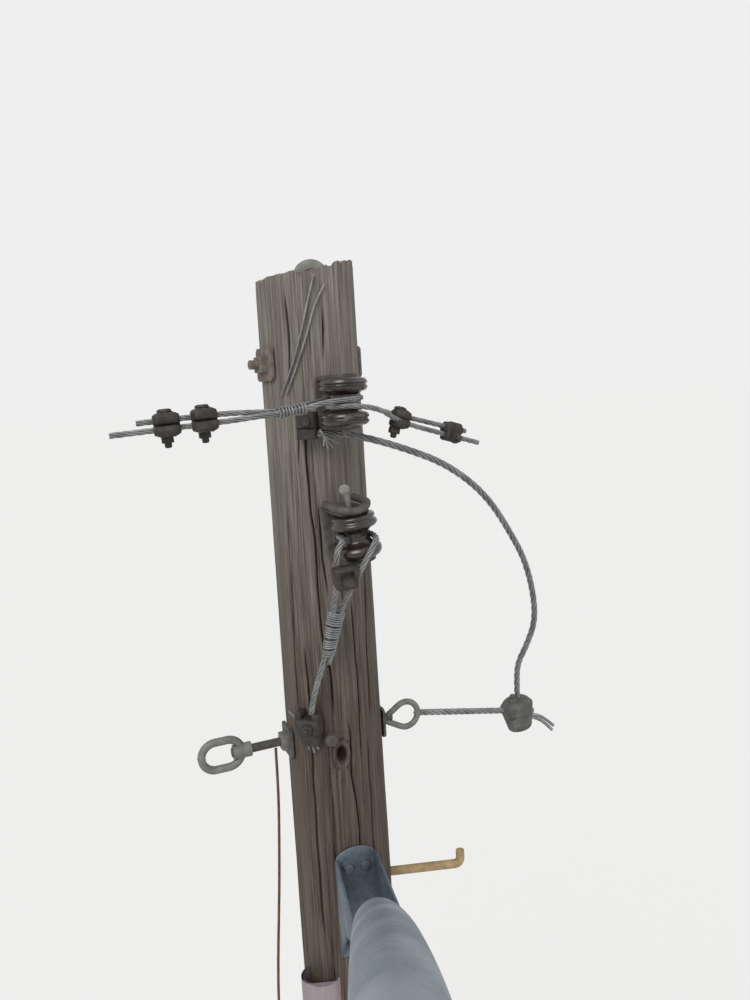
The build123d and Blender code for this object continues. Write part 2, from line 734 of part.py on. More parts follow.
def plug_bolt():
    """Rusty bolt with a round washer head in the front of the shaft."""
    plane = on_shaft(plug_bolt_azimuth, plug_bolt_height, seat_distance(plug_bolt_height))
    washer = Cylinder(plug_washer_diameter / 2, lag_head_height / 3,
                      align=(Align.CENTER, Align.CENTER, Align.MIN))
    head = extrude(RegularPolygon(lag_head_radius, 6), lag_head_height)
    shank = Cylinder(bolt_radius, plug_bolt_depth - 2 * seat_depth,
                     align=(Align.CENTER, Align.CENTER, Align.MAX))
    return plane * (washer + head + shank)


def pole_step(azimuth, height):
    """Round step bar driven into the shaft, its tip turned up."""
    out = surface_radius(height) + step_reach
    start = outward(azimuth) * (surface_radius(height) - step_depth + 2 * seat_depth) + Vector(0, 0, height)
    corner = outward(azimuth) * out + Vector(0, 0, height)
    tip = corner + Vector(0, 0, step_tip_height)
    return wire([start, corner, tip], step_rod_diameter, [step_rod_diameter * 0.75])


def bracket_bolt_places():
    """Height and sideways place of each bolt that holds the bracket."""
    half = bracket_bolt_spread / 2
    return [(bracket_bolt_height, bracket_side_shift - half),
            (bracket_bolt_height, bracket_side_shift + half),
            (bracket_low_bolt_height, bracket_side_shift)]


def arm_path():
    """Centre line of the arm: a steep foot, a long sweep, a bend and a nearly level end."""
    origin = outward(arm_azimuth) * arm_start_distance + sideways(arm_azimuth) * arm_side_shift
    origin += Vector(0, 0, pole_height - arm_start_drop)
    foot = math.radians(arm_rise)
    with BuildLine(Plane(origin=origin, x_dir=outward(arm_azimuth), z_dir=-sideways(arm_azimuth))) as line:
        first = Line((0, 0), (arm_foot_length * math.cos(foot), arm_foot_length * math.sin(foot)))
        sweep_up = JernArc(first @ 1, first % 1, arm_sweep_radius, arm_mid_rise - arm_rise)
        bend = JernArc(sweep_up @ 1, sweep_up % 1, arm_bend_radius, arm_end_rise - arm_mid_rise)
        Line(bend @ 1, (bend @ 1) + (bend % 1) * arm_end_length)
    return line.line


def arm_tube():
    """Hollow arm tube, its pole end held between the bracket's ears."""
    path = arm_path()
    section = Plane(origin=path @ 0, z_dir=path % 0)
    ring = section * (Circle(arm_diameter / 2) - Circle(arm_diameter / 2 - arm_wall))
    return sweep(ring, path=path)


def arm_bracket():
    """Channel on the shaft: a web with rounded top corners and two ears that hold the arm."""
    web_at = seat_distance(bracket_centre_height)
    reach = bracket_ear_reach
    low = -bracket_height / 2
    high = bracket_height / 2
    with BuildSketch(Plane.YZ) as ear:
        with BuildLine():
            Polyline((0, high), (bracket_ear_nose, high), (reach, high - bracket_ear_fall),
                     (reach * 0.96, high - bracket_ear_fall - bracket_ear_nose),
                     (reach * 0.45, high - bracket_ear_fall - 2 * bracket_ear_nose),
                     (reach * 0.3, low + bracket_ear_nose), (reach * 0.3, low), (0, low), (0, high))
        make_face()
    body = Pos(-bracket_width / 2, 0, 0) * extrude(ear.sketch, bracket_width)
    body -= Pos(0, bracket_plate + reach / 2, 0) * Box(bracket_inner_width, reach, 2 * bracket_height)
    front = Pos(0, bracket_plate / 2, 0) * Rot(90, 0, 0)
    outline = RectangleRounded(bracket_width, bracket_height, bracket_corner)
    outline += Pos(0, -bracket_corner) * Rectangle(bracket_width, bracket_height - 2 * bracket_corner)
    outline += Pos(0, -bracket_height / 4) * Rectangle(bracket_width, bracket_height / 2)
    body &= front * extrude(outline, 2 * reach, both=True)
    body = fillet(body.edges().filter_by(Axis.X).group_by(Axis.Y)[-1], bracket_plate)
    for height, side in bracket_bolt_places():
        hole = Rot(90, 0, 0) * Cylinder(bolt_radius + seat_gap, 6 * bracket_plate)
        body -= Pos(bracket_side_shift - side, 0, height - bracket_centre_height) * hole
    origin = outward(bracket_azimuth) * web_at + sideways(bracket_azimuth) * bracket_side_shift
    origin += Vector(0, 0, bracket_centre_height)
    return Plane(origin=origin, x_dir=-sideways(bracket_azimuth), z_dir=(0, 0, 1)) * body


def bracket_bolts():
    """Lag bolts through the bracket's web into the shaft."""
    bolts = []
    for height, side in bracket_bolt_places():
        at = seat_distance(bracket_centre_height) + bracket_plate
        head = extrude(RegularPolygon(lag_head_radius, 6), lag_head_height)
        shank = Cylinder(bolt_radius, plug_bolt_depth - 2 * seat_depth,
                         align=(Align.CENTER, Align.CENTER, Align.MAX))
        bolts.append(on_shaft(bracket_azimuth, height, at, side) * (head + shank))
    return bolts


def arm_end():
    """Plane at the arm's outer end: Z along the arm, Y up."""
    path = arm_path()
    along = path % 1
    return Plane(origin=path @ 1, x_dir=sideways(arm_azimuth), z_dir=along)


def luminaire_housing():
    """Plain cast housing that grows from a round socket to a broad flat hood."""
    socket = arm_socket_depth
    sections = ((-socket, 108, 108, 50), (0, 126, 116, 46), (110, 240, 128, 44),
                (330, luminaire_width, luminaire_depth, 44), (520, luminaire_width * 0.94, 112, 44),
                (luminaire_length, luminaire_width * 0.62, 64, 28))
    body = loft([Pos(0, 0, at) * RectangleRounded(width, height, corner)
                 for at, width, height, corner in sections])
    body -= Pos(0, 0, -socket) * Cylinder(arm_diameter / 2 + seat_gap, socket + seat_gap,
                                         align=(Align.CENTER, Align.CENTER, Align.MIN))
    body -= Pos(0, -lens_seat, 0) * Box(2 * luminaire_width, luminaire_depth, 4 * luminaire_length,
                                      align=(Align.CENTER, Align.MAX, Align.CENTER))
    return arm_end() * body


def luminaire_lens():
    """Shallow glass bowl under the housing."""
    bowl = extrude(RectangleRounded(lens_width, lens_length, lens_width / 4), lens_depth)
    bowl = fillet(bowl.faces().sort_by(Axis.Z)[-1].edges(), lens_depth / 2)
    bowl = Rot(90, 0, 0) * bowl
    return arm_end() * Pos(0, -lens_seat, luminaire_length * 0.52) * bowl


def cable_guard():
    """Long open-topped guard from the ground up the left front of the shaft."""
    low = surface_radius(0)
    high = surface_radius(guard_top_height)
    start = on_shaft(guard_azimuth, ground_clearance, low).origin
    end = on_shaft(guard_azimuth, guard_top_height, high).origin
    plane = Plane(origin=start, x_dir=sideways(guard_azimuth), z_dir=end - start)
    outer = Pos(0, -guard_depth) * Rectangle(
        guard_width, guard_depth + guard_leg, align=(Align.CENTER, Align.MIN))
    outer = fillet(outer.vertices().group_by(Axis.Y)[0], guard_width * 0.42)
    inner = Pos(0, guard_wall - guard_depth) * Rectangle(
        guard_width - 2 * guard_wall, guard_depth + guard_leg, align=(Align.CENTER, Align.MIN))
    inner = fillet(inner.vertices().group_by(Axis.Y)[0], guard_width * 0.42 - guard_wall)
    guard = plane * extrude(outer - inner, (end - start).length)
    core = Cone(low + seat_gap, pole_top_radius + seat_gap, pole_height,
                align=(Align.CENTER, Align.CENTER, Align.MIN))
    return guard - core


def ground_wire():
    """Bare wire that stands off below the cross bolt and then runs down the shaft."""
    seat = ground_wire_diameter / 2 + seat_gap
    start = (-118, 0, cross_bolt_height - bolt_radius - seat)
    free = below_top([(-119, 4, -960), (-131, 0, -1120), (-149, -4, -1300), (-155, 0, -1450),
                      (-138, 3, -1700)])
    landing = pole_height - ground_wire_landing_drop
    route = [start] + free + [(-surface_radius(landing) - seat, 0, landing),
                              (-pole_ground_radius - seat, 0, ground_clearance)]
    return wire(route, ground_wire_diameter)


def write(name, shape):
    """Write one sub-part as a STEP file."""
    solids = shape if isinstance(shape, (list, tuple)) else [shape]
    solids = [solid for item in solids for solid in item.solids()]
    export_step(solids[0] if len(solids) == 1 else Compound(children=solids), f"parts/{name}.step")


os.makedirs("parts", exist_ok=True)
write("pole_shaft", pole_shaft())
write("top_eye", top_eye()[0])
write("top_tie_wires", tie_wires())
write("tie_bolt", tie_bolt())
write("tie_bolt_nut", back_nut(tie_bolt_azimuth, tie_bolt_height))
write("tie_bolt_washers", [square_washer(tie_bolt_azimuth + turn, tie_bolt_height) for turn in (0, 180)])
for name, height in (("upper", upper_spool_height), ("mid", mid_spool_height)):
    write(f"{name}_spool", Pos(0, -spool_stand_off, height) * spool())
    write(f"{name}_clevis", clevis(height))
    write(f"{name}_clevis_pin", clevis_pin(height))
    write(f"{name}_clevis_bolt", clevis_bolt(height))
write("clevis_bolt_washers", [square_washer(180, height) for height in spool_heights])
write("clevis_bolt_nuts", [back_nut(180, height) for height in spool_heights])
write("left_line_wire", left_wire())
write("left_clamp_inner", left_clamp(-230))
write("left_clamp_outer", left_clamp(-285))
write("right_line_wire", right_wire())
write("right_clamp_inner", right_clamp(98, False))
write("right_clamp_outer", right_clamp(197, True))
write("pole_wire_clamp", wire_clamp())
write("jumper_wire", jumper())
write("tap_clamp", tap_clamp())
write("messenger_stub", messenger_stub())
write("mid_loop_wire", mid_loop())
write("mid_loop_clamp", mid_loop_clamp())
write("mid_serving", mid_serving())
write("neutral_connector", neutral_connector())
write("right_eye", eye_right())
write("left_link", link_left())
write("cross_bolt", cross_bolt())
write("cross_bolt_nut", back_nut(-90, cross_bolt_height))
write("cross_bolt_washers", [square_washer(azimuth, cross_bolt_height) for azimuth in (90, -90)])
write("plug_bolt", plug_bolt())
write("steps_right", [pole_step(step_azimuth, height) for height in right_steps])
write("steps_left", [pole_step(step_azimuth - 180, height) for height in left_steps])
write("arm_tube", arm_tube())
write("arm_bracket", arm_bracket())
write("bracket_bolts", bracket_bolts())
write("luminaire_housing", luminaire_housing())
write("luminaire_lens", luminaire_lens())
write("cable_guard", cable_guard())
write("ground_wire", ground_wire())
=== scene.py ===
"""Weathered wooden light pole with its line hardware, dressed for a studio view.

Lengths in the tables are millimetres, with heights measured from the top of the
shaft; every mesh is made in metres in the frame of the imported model.
"""
import json
import logging
import math
from dataclasses import dataclass, field
from enum import Enum
from typing import Iterable, Sequence

import bmesh
import bpy
import numpy as np
from mathutils import Matrix, Vector


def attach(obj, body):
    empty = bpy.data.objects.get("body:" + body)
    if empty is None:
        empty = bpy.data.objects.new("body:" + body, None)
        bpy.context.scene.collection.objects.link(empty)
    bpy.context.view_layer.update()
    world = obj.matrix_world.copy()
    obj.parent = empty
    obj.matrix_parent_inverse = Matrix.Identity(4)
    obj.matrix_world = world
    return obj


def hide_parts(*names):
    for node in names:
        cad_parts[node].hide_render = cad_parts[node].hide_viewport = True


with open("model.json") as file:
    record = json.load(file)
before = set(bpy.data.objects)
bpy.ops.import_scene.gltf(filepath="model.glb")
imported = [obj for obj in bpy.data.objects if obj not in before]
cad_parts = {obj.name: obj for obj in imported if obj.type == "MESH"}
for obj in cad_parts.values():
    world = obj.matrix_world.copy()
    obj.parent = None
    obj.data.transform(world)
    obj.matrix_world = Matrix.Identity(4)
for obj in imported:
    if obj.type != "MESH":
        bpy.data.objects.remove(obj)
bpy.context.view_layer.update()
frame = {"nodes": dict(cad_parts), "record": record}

log = logging.getLogger("light_pole")
MM = 0.001
POLE_TOP = 11700.0
TOP_RADIUS = 89.0
GROUND_RADIUS = 141.5
Point = tuple[float, float, float]


class Slot(Enum):
    """The record's material slots."""

    WOOD = "pole_wood"
    PORCELAIN = "porcelain"
    GALVANISED = "galvanised"
    STRAND = "strand"
    CLAMP = "cast_clamp"
    TAP = "tap_casting"
    RUST = "rusty_steel"
    GUARD = "guard_plastic"
    COPPER = "copper_wire"
    HOUSING = "luminaire_paint"
    LENS = "lens_glass"


def linear(code: str) -> tuple[float, float, float, float]:
    """Turn an sRGB hex colour into the linear values that Blender reads.

    Args:
        code: Colour as "#rrggbb".

    Returns:
        Red, green, blue and an alpha of 1.
    """
    shares = [int(code[i:i + 2], 16) / 255 for i in (1, 3, 5)]
    parts = [s / 12.92 if s <= 0.04045 else ((s + 0.055) / 1.055) ** 2.4 for s in shares]
    return (parts[0], parts[1], parts[2], 1.0)


def add_node(tree: bpy.types.NodeTree, kind: str, settings: dict | None = None,
             links: dict | None = None) -> bpy.types.Node:
    """Add one shader node.

    Args:
        tree: The material's node tree.
        kind: Blender's name of the node type.
        settings: Properties by name, and unlinked inputs by name or index.
        links: Source sockets by the name or index of the input that each one feeds.

    Returns:
        The new node.
    """
    node = tree.nodes.new(kind)
    for name, value in (settings or {}).items():
        if isinstance(name, str) and hasattr(node, name):
            setattr(node, name, value)
        else:
            node.inputs[name].default_value = value
    for name, source in (links or {}).items():
        tree.links.new(source, node.inputs[name])
    return node


@dataclass(frozen=True)
class Finish:
    """A finish with a colour ramp over two sizes of mottle, and a bump from the finer one."""

    name: str
    tones: tuple[tuple[float, str], ...]
    mottle_mm: float = 40.0
    grit_mm: float = 2.0
    stretch: Point = (1.0, 1.0, 1.0)
    metallic: float = 0.0
    roughness: tuple[float, float] = (0.45, 0.65)
    bump_mm: float = 0.15
    grit_share: float = 0.4

    def noise(self, tree: bpy.types.NodeTree, place: bpy.types.NodeSocket, size_mm: float,
              detail: float = 4.0) -> bpy.types.NodeSocket:
        """Noise whose blotches are about size_mm across.

        Args:
            tree: The material's node tree.
            place: Coordinates in metres.
            size_mm: Width of a blotch.
            detail: Octaves of finer noise.

        Returns:
            The noise value's socket.
        """
        node = add_node(tree, "ShaderNodeTexNoise", {"Scale": 1000.0 / size_mm, "Detail": detail,
                                                    "Roughness": 0.6}, {"Vector": place})
        return node.outputs[0]

    def ramp(self, tree: bpy.types.NodeTree, value: bpy.types.NodeSocket,
             tones: Sequence[tuple[float, str]]) -> bpy.types.NodeSocket:
        """Colour ramp from (place, hex colour) pairs."""
        node = add_node(tree, "ShaderNodeValToRGB", None, {0: value})
        stops = node.color_ramp.elements
        while len(stops) < len(tones):
            stops.new(1.0)
        for stop, (at, code) in zip(stops, tones):
            stop.position = at
            stop.color = linear(code)
        return node.outputs[0]

    def mix(self, tree: bpy.types.NodeTree, share: bpy.types.NodeSocket | float,
            first: bpy.types.NodeSocket, second: bpy.types.NodeSocket | str) -> bpy.types.NodeSocket:
        """Blend two colours, the second one a socket or a hex colour."""
        settings: dict = {"data_type": "RGBA"}
        links: dict = {6: first}
        if isinstance(share, float):
            settings[0] = share
        else:
            links[0] = share
        if isinstance(second, str):
            settings[7] = linear(second)
        else:
            links[7] = second
        return add_node(tree, "ShaderNodeMix", settings, links).outputs[2]

    def band(self, tree: bpy.types.NodeTree, value: bpy.types.NodeSocket, low: float, high: float,
             to_low: float = 0.0, to_high: float = 1.0) -> bpy.types.NodeSocket:
        """Map a value's range onto another one, clamped."""
        return add_node(tree, "ShaderNodeMapRange", {1: low, 2: high, 3: to_low, 4: to_high},
                        {0: value}).outputs[0]

    def colour(self, tree: bpy.types.NodeTree, place: bpy.types.NodeSocket,
               fine: bpy.types.NodeSocket) -> bpy.types.NodeSocket:
        """Base colour from the mottle and the grit."""
        broad = self.noise(tree, place, self.mottle_mm)
        both = add_node(tree, "ShaderNodeMix", {"data_type": "FLOAT", 0: self.grit_share}, {2: broad, 3: fine})
        return self.ramp(tree, both.outputs[0], self.tones)

    def extras(self, tree: bpy.types.NodeTree, shader: bpy.types.Node) -> None:
        """Settings of the shader that only some finishes have."""

    def material(self) -> bpy.types.Material:
        """The material, made the first time it is asked for."""
        if self.name in bpy.data.materials:
            return bpy.data.materials[self.name]
        made = bpy.data.materials.new(self.name)
        made.use_nodes = True
        tree = made.node_tree
        shader = tree.nodes["Principled BSDF"]
        where = add_node(tree, "ShaderNodeTexCoord").outputs["Object"]
        place = add_node(tree, "ShaderNodeMapping", {"Scale": self.stretch}, {"Vector": where}).outputs[0]
        fine = self.noise(tree, place, self.grit_mm, 6.0)
        tree.links.new(self.colour(tree, place, fine), shader.inputs["Base Color"])
        tree.links.new(self.band(tree, fine, 0.3, 0.7, *self.roughness), shader.inputs["Roughness"])
        shader.inputs["Metallic"].default_value = self.metallic
        bump = add_node(tree, "ShaderNodeBump", {"Distance": self.bump_mm * MM, "Strength": 1.0},
                        {"Height": self.relief(tree, place, fine)})
        tree.links.new(bump.outputs[0], shader.inputs["Normal"])
        self.extras(tree, shader)
        return made

    def relief(self, tree: bpy.types.NodeTree, place: bpy.types.NodeSocket,
               fine: bpy.types.NodeSocket) -> bpy.types.NodeSocket:
        """Height that the bump reads."""
        return fine


@dataclass(frozen=True)
class WoodFinish(Finish):
    """Bleached round wood: long fibres, checks and a knot hole darkened as painted shade, dark grain rings round
    the knot, greyer up, redder down.
    """

    streak_mm: float = 9.0
    ring_mm: float = 4.0
    grey_above: float = 11.45
    red_below: float = 10.9
    red_tint: str = "#b0a29b"
    stain: str = "#5b5049"
    # Colour of the painted shade in checks, the knot hole and the top's splits, and of the knot's grain rings.
    shade_and_knot_ring_tone: str = "#1a1512"
    end_tones: tuple[tuple[float, str], ...] = ((0.0, "#5c5048"), (0.6, "#8b8077"), (1.0, "#a39a90"))

    def colour(self, tree: bpy.types.NodeTree, place: bpy.types.NodeSocket,
               fine: bpy.types.NodeSocket) -> bpy.types.NodeSocket:
        """Fibres over streaks over broad stains, with end grain from one attribute, and from another the painted
        shade in checks, knot hole and splits together with the knot's grain rings.
        """
        streak = self.noise(tree, place, self.streak_mm, 5.0)
        broad = self.noise(tree, place, self.mottle_mm, 3.0)
        blend = add_node(tree, "ShaderNodeMix", {"data_type": "FLOAT", 0: 0.38}, {2: fine, 3: streak})
        blend = add_node(tree, "ShaderNodeMix", {"data_type": "FLOAT", 0: 0.22}, {2: blend.outputs[0], 3: broad})
        grey = self.ramp(tree, blend.outputs[0], self.tones)
        where = add_node(tree, "ShaderNodeTexCoord").outputs["Object"]
        height = add_node(tree, "ShaderNodeSeparateXYZ", None, {0: where}).outputs[2]
        red = self.band(tree, height, self.grey_above, self.red_below, 0.0, 0.9)
        warm = add_node(tree, "ShaderNodeMix", {"data_type": "RGBA", "blend_type": "MULTIPLY",
                                               7: linear(self.red_tint)}, {0: red, 6: grey}).outputs[2]
        side = self.band(tree, broad, 0.5, 0.68, 0.0, 0.3)
        warm = self.mix(tree, side, warm, self.stain)
        ends = add_node(tree, "ShaderNodeAttribute", {"attribute_name": "end_grain"}).outputs["Fac"]
        rings = add_node(tree, "ShaderNodeTexWave", {"wave_type": "RINGS", "rings_direction": "Z",
                                                    "Scale": 1000.0 / (self.ring_mm * 6.3), "Distortion": 2.5,
                                                    "Detail": 3.0}, {"Vector": where}).outputs["Fac"]
        warm = self.mix(tree, ends, warm, self.ramp(tree, rings, self.end_tones))
        # The check attribute carries painted shade in checks, the knot hole and the top's splits, plus the knot's
        # real grain rings.
        check = add_node(tree, "ShaderNodeAttribute", {"attribute_name": "check"}).outputs["Fac"]
        return self.mix(tree, check, warm, self.shade_and_knot_ring_tone)

    def extras(self, tree: bpy.types.NodeTree, shader: bpy.types.Node) -> None:
        """Dry fibres reflect little."""
        shader.inputs["Specular IOR Level"].default_value = 0.2

    def relief(self, tree: bpy.types.NodeTree, place: bpy.types.NodeSocket,
               fine: bpy.types.NodeSocket) -> bpy.types.NodeSocket:
        """Fibres raised from the softer wood between them."""
        coarse = self.noise(tree, place, self.streak_mm, 3.0)
        return add_node(tree, "ShaderNodeMath", {"operation": "ADD"}, {0: fine, 1: coarse}).outputs[0]


@dataclass(frozen=True)
class ZincFinish(Finish):
    """Hot-dip zinc gone dull, its crystals still showing as a faint spangle."""

    spangle_mm: float = 7.0
    spangle_tone: str = "#b4bbc0"
    stain: str = "#5f6263"
    worn_tone: str = "#b4babd"
    worn: float = 0.45

    def colour(self, tree: bpy.types.NodeTree, place: bpy.types.NodeSocket,
               fine: bpy.types.NodeSocket) -> bpy.types.NodeSocket:
        """Mottled zinc with each crystal a little lighter or darker."""
        base = super().colour(tree, place, fine)
        cells = add_node(tree, "ShaderNodeTexVoronoi", {"Scale": 1000.0 / self.spangle_mm}, {"Vector": place})
        tint = add_node(tree, "ShaderNodeSeparateColor", None, {0: cells.outputs["Color"]}).outputs[0]
        share = self.band(tree, tint, 0.0, 1.0, 0.0, 0.1)
        spangled = self.mix(tree, share, base, self.spangle_tone)
        dirt = self.band(tree, self.noise(tree, place, 9 * self.spangle_mm, 3.0), 0.52, 0.72, 0.0, 0.3)
        worn = self.band(tree, self.noise(tree, place, 24 * self.spangle_mm, 2.0), 0.54, 0.66, 0.0, self.worn)
        return self.mix(tree, worn, self.mix(tree, dirt, spangled, self.stain), self.worn_tone)


@dataclass(frozen=True)
class GlazeFinish(Finish):
    """Fired glaze, glossy under a film of dust."""

    def extras(self, tree: bpy.types.NodeTree, shader: bpy.types.Node) -> None:
        """A thin clear coat for the glaze."""
        shader.inputs["Coat Weight"].default_value = 0.35
        shader.inputs["Coat Roughness"].default_value = 0.2


@dataclass(frozen=True)
class GlassFinish(Finish):
    """Pressed clear glass, slightly wavy."""

    def extras(self, tree: bpy.types.NodeTree, shader: bpy.types.Node) -> None:
        """Light passes through."""
        shader.inputs["Transmission Weight"].default_value = 0.9
        shader.inputs["IOR"].default_value = 1.5


# Round pole wood, bare and sun-bleached: brownish grey with dark lines between raised fibres.
WEATHERED_WOOD = WoodFinish("weathered_pole_wood", ((0.32, "#2f2b28"), (0.42, "#534d47"), (0.51, "#6f6a64"),
                                                  (0.66, "#98928a")), mottle_mm=70.0, grit_mm=2.6,
                            stretch=(1.0, 1.0, 0.022), roughness=(0.78, 0.95), bump_mm=0.9)
# Brown glazed porcelain: nearly black, with sharp highlights softened by road dust.
BROWN_PORCELAIN = GlazeFinish("brown_glazed_porcelain", ((0.3, "#161110"), (0.55, "#251b18"), (0.75, "#43372f")),
                              mottle_mm=22.0, grit_mm=1.2, roughness=(0.18, 0.42), bump_mm=0.05)
# Hot-dip galvanised steel: dull blue-grey with a faint spangle and darker weather stains.
GALVANISED_STEEL = ZincFinish("galvanised_steel", ((0.3, "#59636c"), (0.55, "#737e88"), (0.75, "#949da5")),
                              mottle_mm=110.0, grit_mm=1.4, metallic=0.6, roughness=(0.5, 0.7), bump_mm=0.05,
                              grit_share=0.2)
# Forged steel whose zinc has weathered off: dark grey-brown, dry, with lighter worn spots.
WEATHERED_STEEL = Finish("weathered_forged_steel", ((0.3, "#37332f"), (0.52, "#524e4a"), (0.75, "#77726b")),
                         mottle_mm=14.0, grit_mm=1.2, metallic=0.35, roughness=(0.55, 0.8), bump_mm=0.15)
# Forged eye and link: dull neutral grey, a little lighter than the clevises.
DULL_FORGING = Finish("dull_grey_forging", ((0.3, "#55565a"), (0.52, "#74746f"), (0.75, "#918f89")),
                      mottle_mm=16.0, grit_mm=1.2, metallic=0.4, roughness=(0.5, 0.75), bump_mm=0.12)
# Old tap casting: dark neutral grey, matt, slightly pitted.
DARK_CASTING = Finish("dark_grey_casting", ((0.3, "#3c3c3b"), (0.52, "#555452"), (0.75, "#77756f")),
                      mottle_mm=18.0, grit_mm=1.3, metallic=0.3, roughness=(0.55, 0.78), bump_mm=0.2)
# Bolt end and washers under a crust of pale rust: grey-brown, hardly orange.
CRUSTED_STEEL = Finish("crusted_bolt_steel", ((0.28, "#4a423d"), (0.5, "#6c625c"), (0.74, "#94897f")),
                       mottle_mm=9.0, grit_mm=1.1, metallic=0.1, roughness=(0.75, 0.95), bump_mm=0.35)
# Step rods: yellow-tan, an old zinc chromate coat with dirt in it.
TAN_STEEL = Finish("tan_step_steel", ((0.28, "#6d5b42"), (0.5, "#a08762"), (0.72, "#bda47c")), mottle_mm=18.0,
                   grit_mm=1.2, metallic=0.2, roughness=(0.55, 0.8), bump_mm=0.12)
# The bracket's plate and lag heads: the same zinc painted darker and bluer than the tube, as painted shade for the
# shadow that falls in and on the bracket.
PAINTED_SHADE_ZINC = ZincFinish("zinc_painted_shade", ((0.3, "#434d56"), (0.55, "#58636d"), (0.75, "#75808a")),
                       mottle_mm=60.0, grit_mm=1.4, metallic=0.5, roughness=(0.5, 0.7), bump_mm=0.06,
                       grit_share=0.2, worn=0.1)
# Aluminium strand left out for years: matt mid grey, darker in the valleys.
WEATHERED_STRAND = Finish("weathered_aluminium_strand", ((0.3, "#5c5c5b"), (0.5, "#7f807f"), (0.75, "#a5a6a5")),
                          mottle_mm=18.0, grit_mm=1.2, metallic=0.7, roughness=(0.42, 0.65), bump_mm=0.06)
# Cast iron clamp, black-brown with a dry, grainy skin.
CAST_IRON = Finish("cast_iron_fitting", ((0.3, "#231f1d"), (0.55, "#3e3a37"), (0.72, "#5d5651")),
                   mottle_mm=14.0, grit_mm=1.3, metallic=0.45, roughness=(0.5, 0.78), bump_mm=0.22)
# Sand-cast aluminium: pale warm grey, matt and slightly pitted.
CAST_ALUMINIUM = Finish("sand_cast_aluminium", ((0.3, "#6f6d69"), (0.55, "#96948f"), (0.75, "#b5b3ad")),
                        mottle_mm=16.0, grit_mm=1.3, metallic=0.7, roughness=(0.5, 0.72), bump_mm=0.2)
# Steel rusted all over: brown with orange bloom and dark scale.
RUSTED_STEEL = Finish("rusted_steel", ((0.28, "#2c201a"), (0.48, "#5b3c2a"), (0.62, "#84583a"), (0.78, "#a5835f")),
                      mottle_mm=12.0, grit_mm=1.1, metallic=0.15, roughness=(0.75, 0.95), bump_mm=0.3)
# Moulded plastic cable guard faded by the sun: pinkish grey, chalky.
FADED_PLASTIC = Finish("faded_guard_plastic", ((0.3, "#756a6d"), (0.55, "#8b7f82"), (0.75, "#a0959a")),
                       mottle_mm=60.0, grit_mm=3.0, stretch=(1.0, 1.0, 0.15), roughness=(0.5, 0.68), bump_mm=0.08)
# Bare copper gone brown, with a trace of grey.
TARNISHED_COPPER = Finish("tarnished_copper", ((0.3, "#40342c"), (0.55, "#6d5a49"), (0.75, "#8a7a68")),
                          mottle_mm=16.0, grit_mm=1.2, metallic=0.65, roughness=(0.42, 0.66), bump_mm=0.06)
# Grey enamel on an aluminium casting: even, with a faint orange peel.
GREY_ENAMEL = Finish("grey_enamel", ((0.3, "#868b8d"), (0.6, "#909597"), (0.8, "#9a9fa1")), mottle_mm=90.0,
                     grit_mm=1.6, roughness=(0.36, 0.48), bump_mm=0.05)
# Pressed glass: clear, a little wavy.
PRESSED_GLASS = GlassFinish("pressed_glass", ((0.3, "#e4eaeb"), (0.7, "#eef3f4")), mottle_mm=60.0, grit_mm=14.0,
                            roughness=(0.06, 0.12), bump_mm=0.4)

FINISH_OF = {Slot.WOOD: WEATHERED_WOOD, Slot.PORCELAIN: BROWN_PORCELAIN, Slot.GALVANISED: GALVANISED_STEEL,
             Slot.STRAND: WEATHERED_STRAND, Slot.CLAMP: CAST_IRON, Slot.TAP: CAST_ALUMINIUM,
             Slot.RUST: RUSTED_STEEL, Slot.GUARD: FADED_PLASTIC, Slot.COPPER: TARNISHED_COPPER,
             Slot.HOUSING: GREY_ENAMEL, Slot.LENS: PRESSED_GLASS}
FINISH_OF_NODE = {**dict.fromkeys(("upper_clevis", "upper_clevis_bolt", "mid_clevis_bolt", "clevis_bolt_washers",
                                   "clevis_bolt_nuts", "cross_bolt", "cross_bolt_washers", "plug_bolt"),
                                  WEATHERED_STEEL),
                  **dict.fromkeys(("left_link", "cross_bolt_nut"), DULL_FORGING),
                  **dict.fromkeys(("tie_bolt", "tie_bolt_nut", "tie_bolt_washers"), CRUSTED_STEEL),
                  **dict.fromkeys(("steps_right", "steps_left"), TAN_STEEL)}


def surface_radius(height: float | np.ndarray) -> float | np.ndarray:
    """Radius of the tapered shaft at a height above the ground, in millimetres."""
    return GROUND_RADIUS + (TOP_RADIUS - GROUND_RADIUS) * height / POLE_TOP


def below_top(points: Iterable[Point]) -> list[Vector]:
    """Points in metres from millimetres whose heights are measured from the top."""
    return [Vector((x, y, POLE_TOP + z)) * MM for x, y, z in points]


def outward(azimuth: float) -> Vector:
    """Level direction away from the shaft at an azimuth in degrees."""
    turn = math.radians(azimuth)
    return Vector((math.sin(turn), -math.cos(turn), 0.0))


def sideways(azimuth: float) -> Vector:
    """Level direction to the right of someone who faces the shaft."""
    turn = math.radians(azimuth)
    return Vector((math.cos(turn), math.sin(turn), 0.0))


def on_shaft(azimuth: float, drop: float, distance: float, side: float = 0.0) -> Matrix:
    """Frame on the shaft whose X runs sideways, Y up and Z outward.

    Args:
        azimuth: Degrees round the shaft.
        drop: Millimetres below the top.
        distance: Millimetres from the shaft's axis.
        side: Millimetres sideways.

    Returns:
        A matrix from that frame, in metres, to the model's frame.
    """
    out, along = outward(azimuth), sideways(azimuth)
    origin = (out * distance + along * side + Vector((0, 0, POLE_TOP - drop))) * MM
    return frame_at(origin, along, Vector((0, 0, 1)), out)


def frame_at(origin: Vector, x: Vector, y: Vector, z: Vector) -> Matrix:
    """Matrix from three directions and an origin."""
    turn = Matrix((x, y, z)).transposed().to_4x4()
    return Matrix.Translation(origin) @ turn


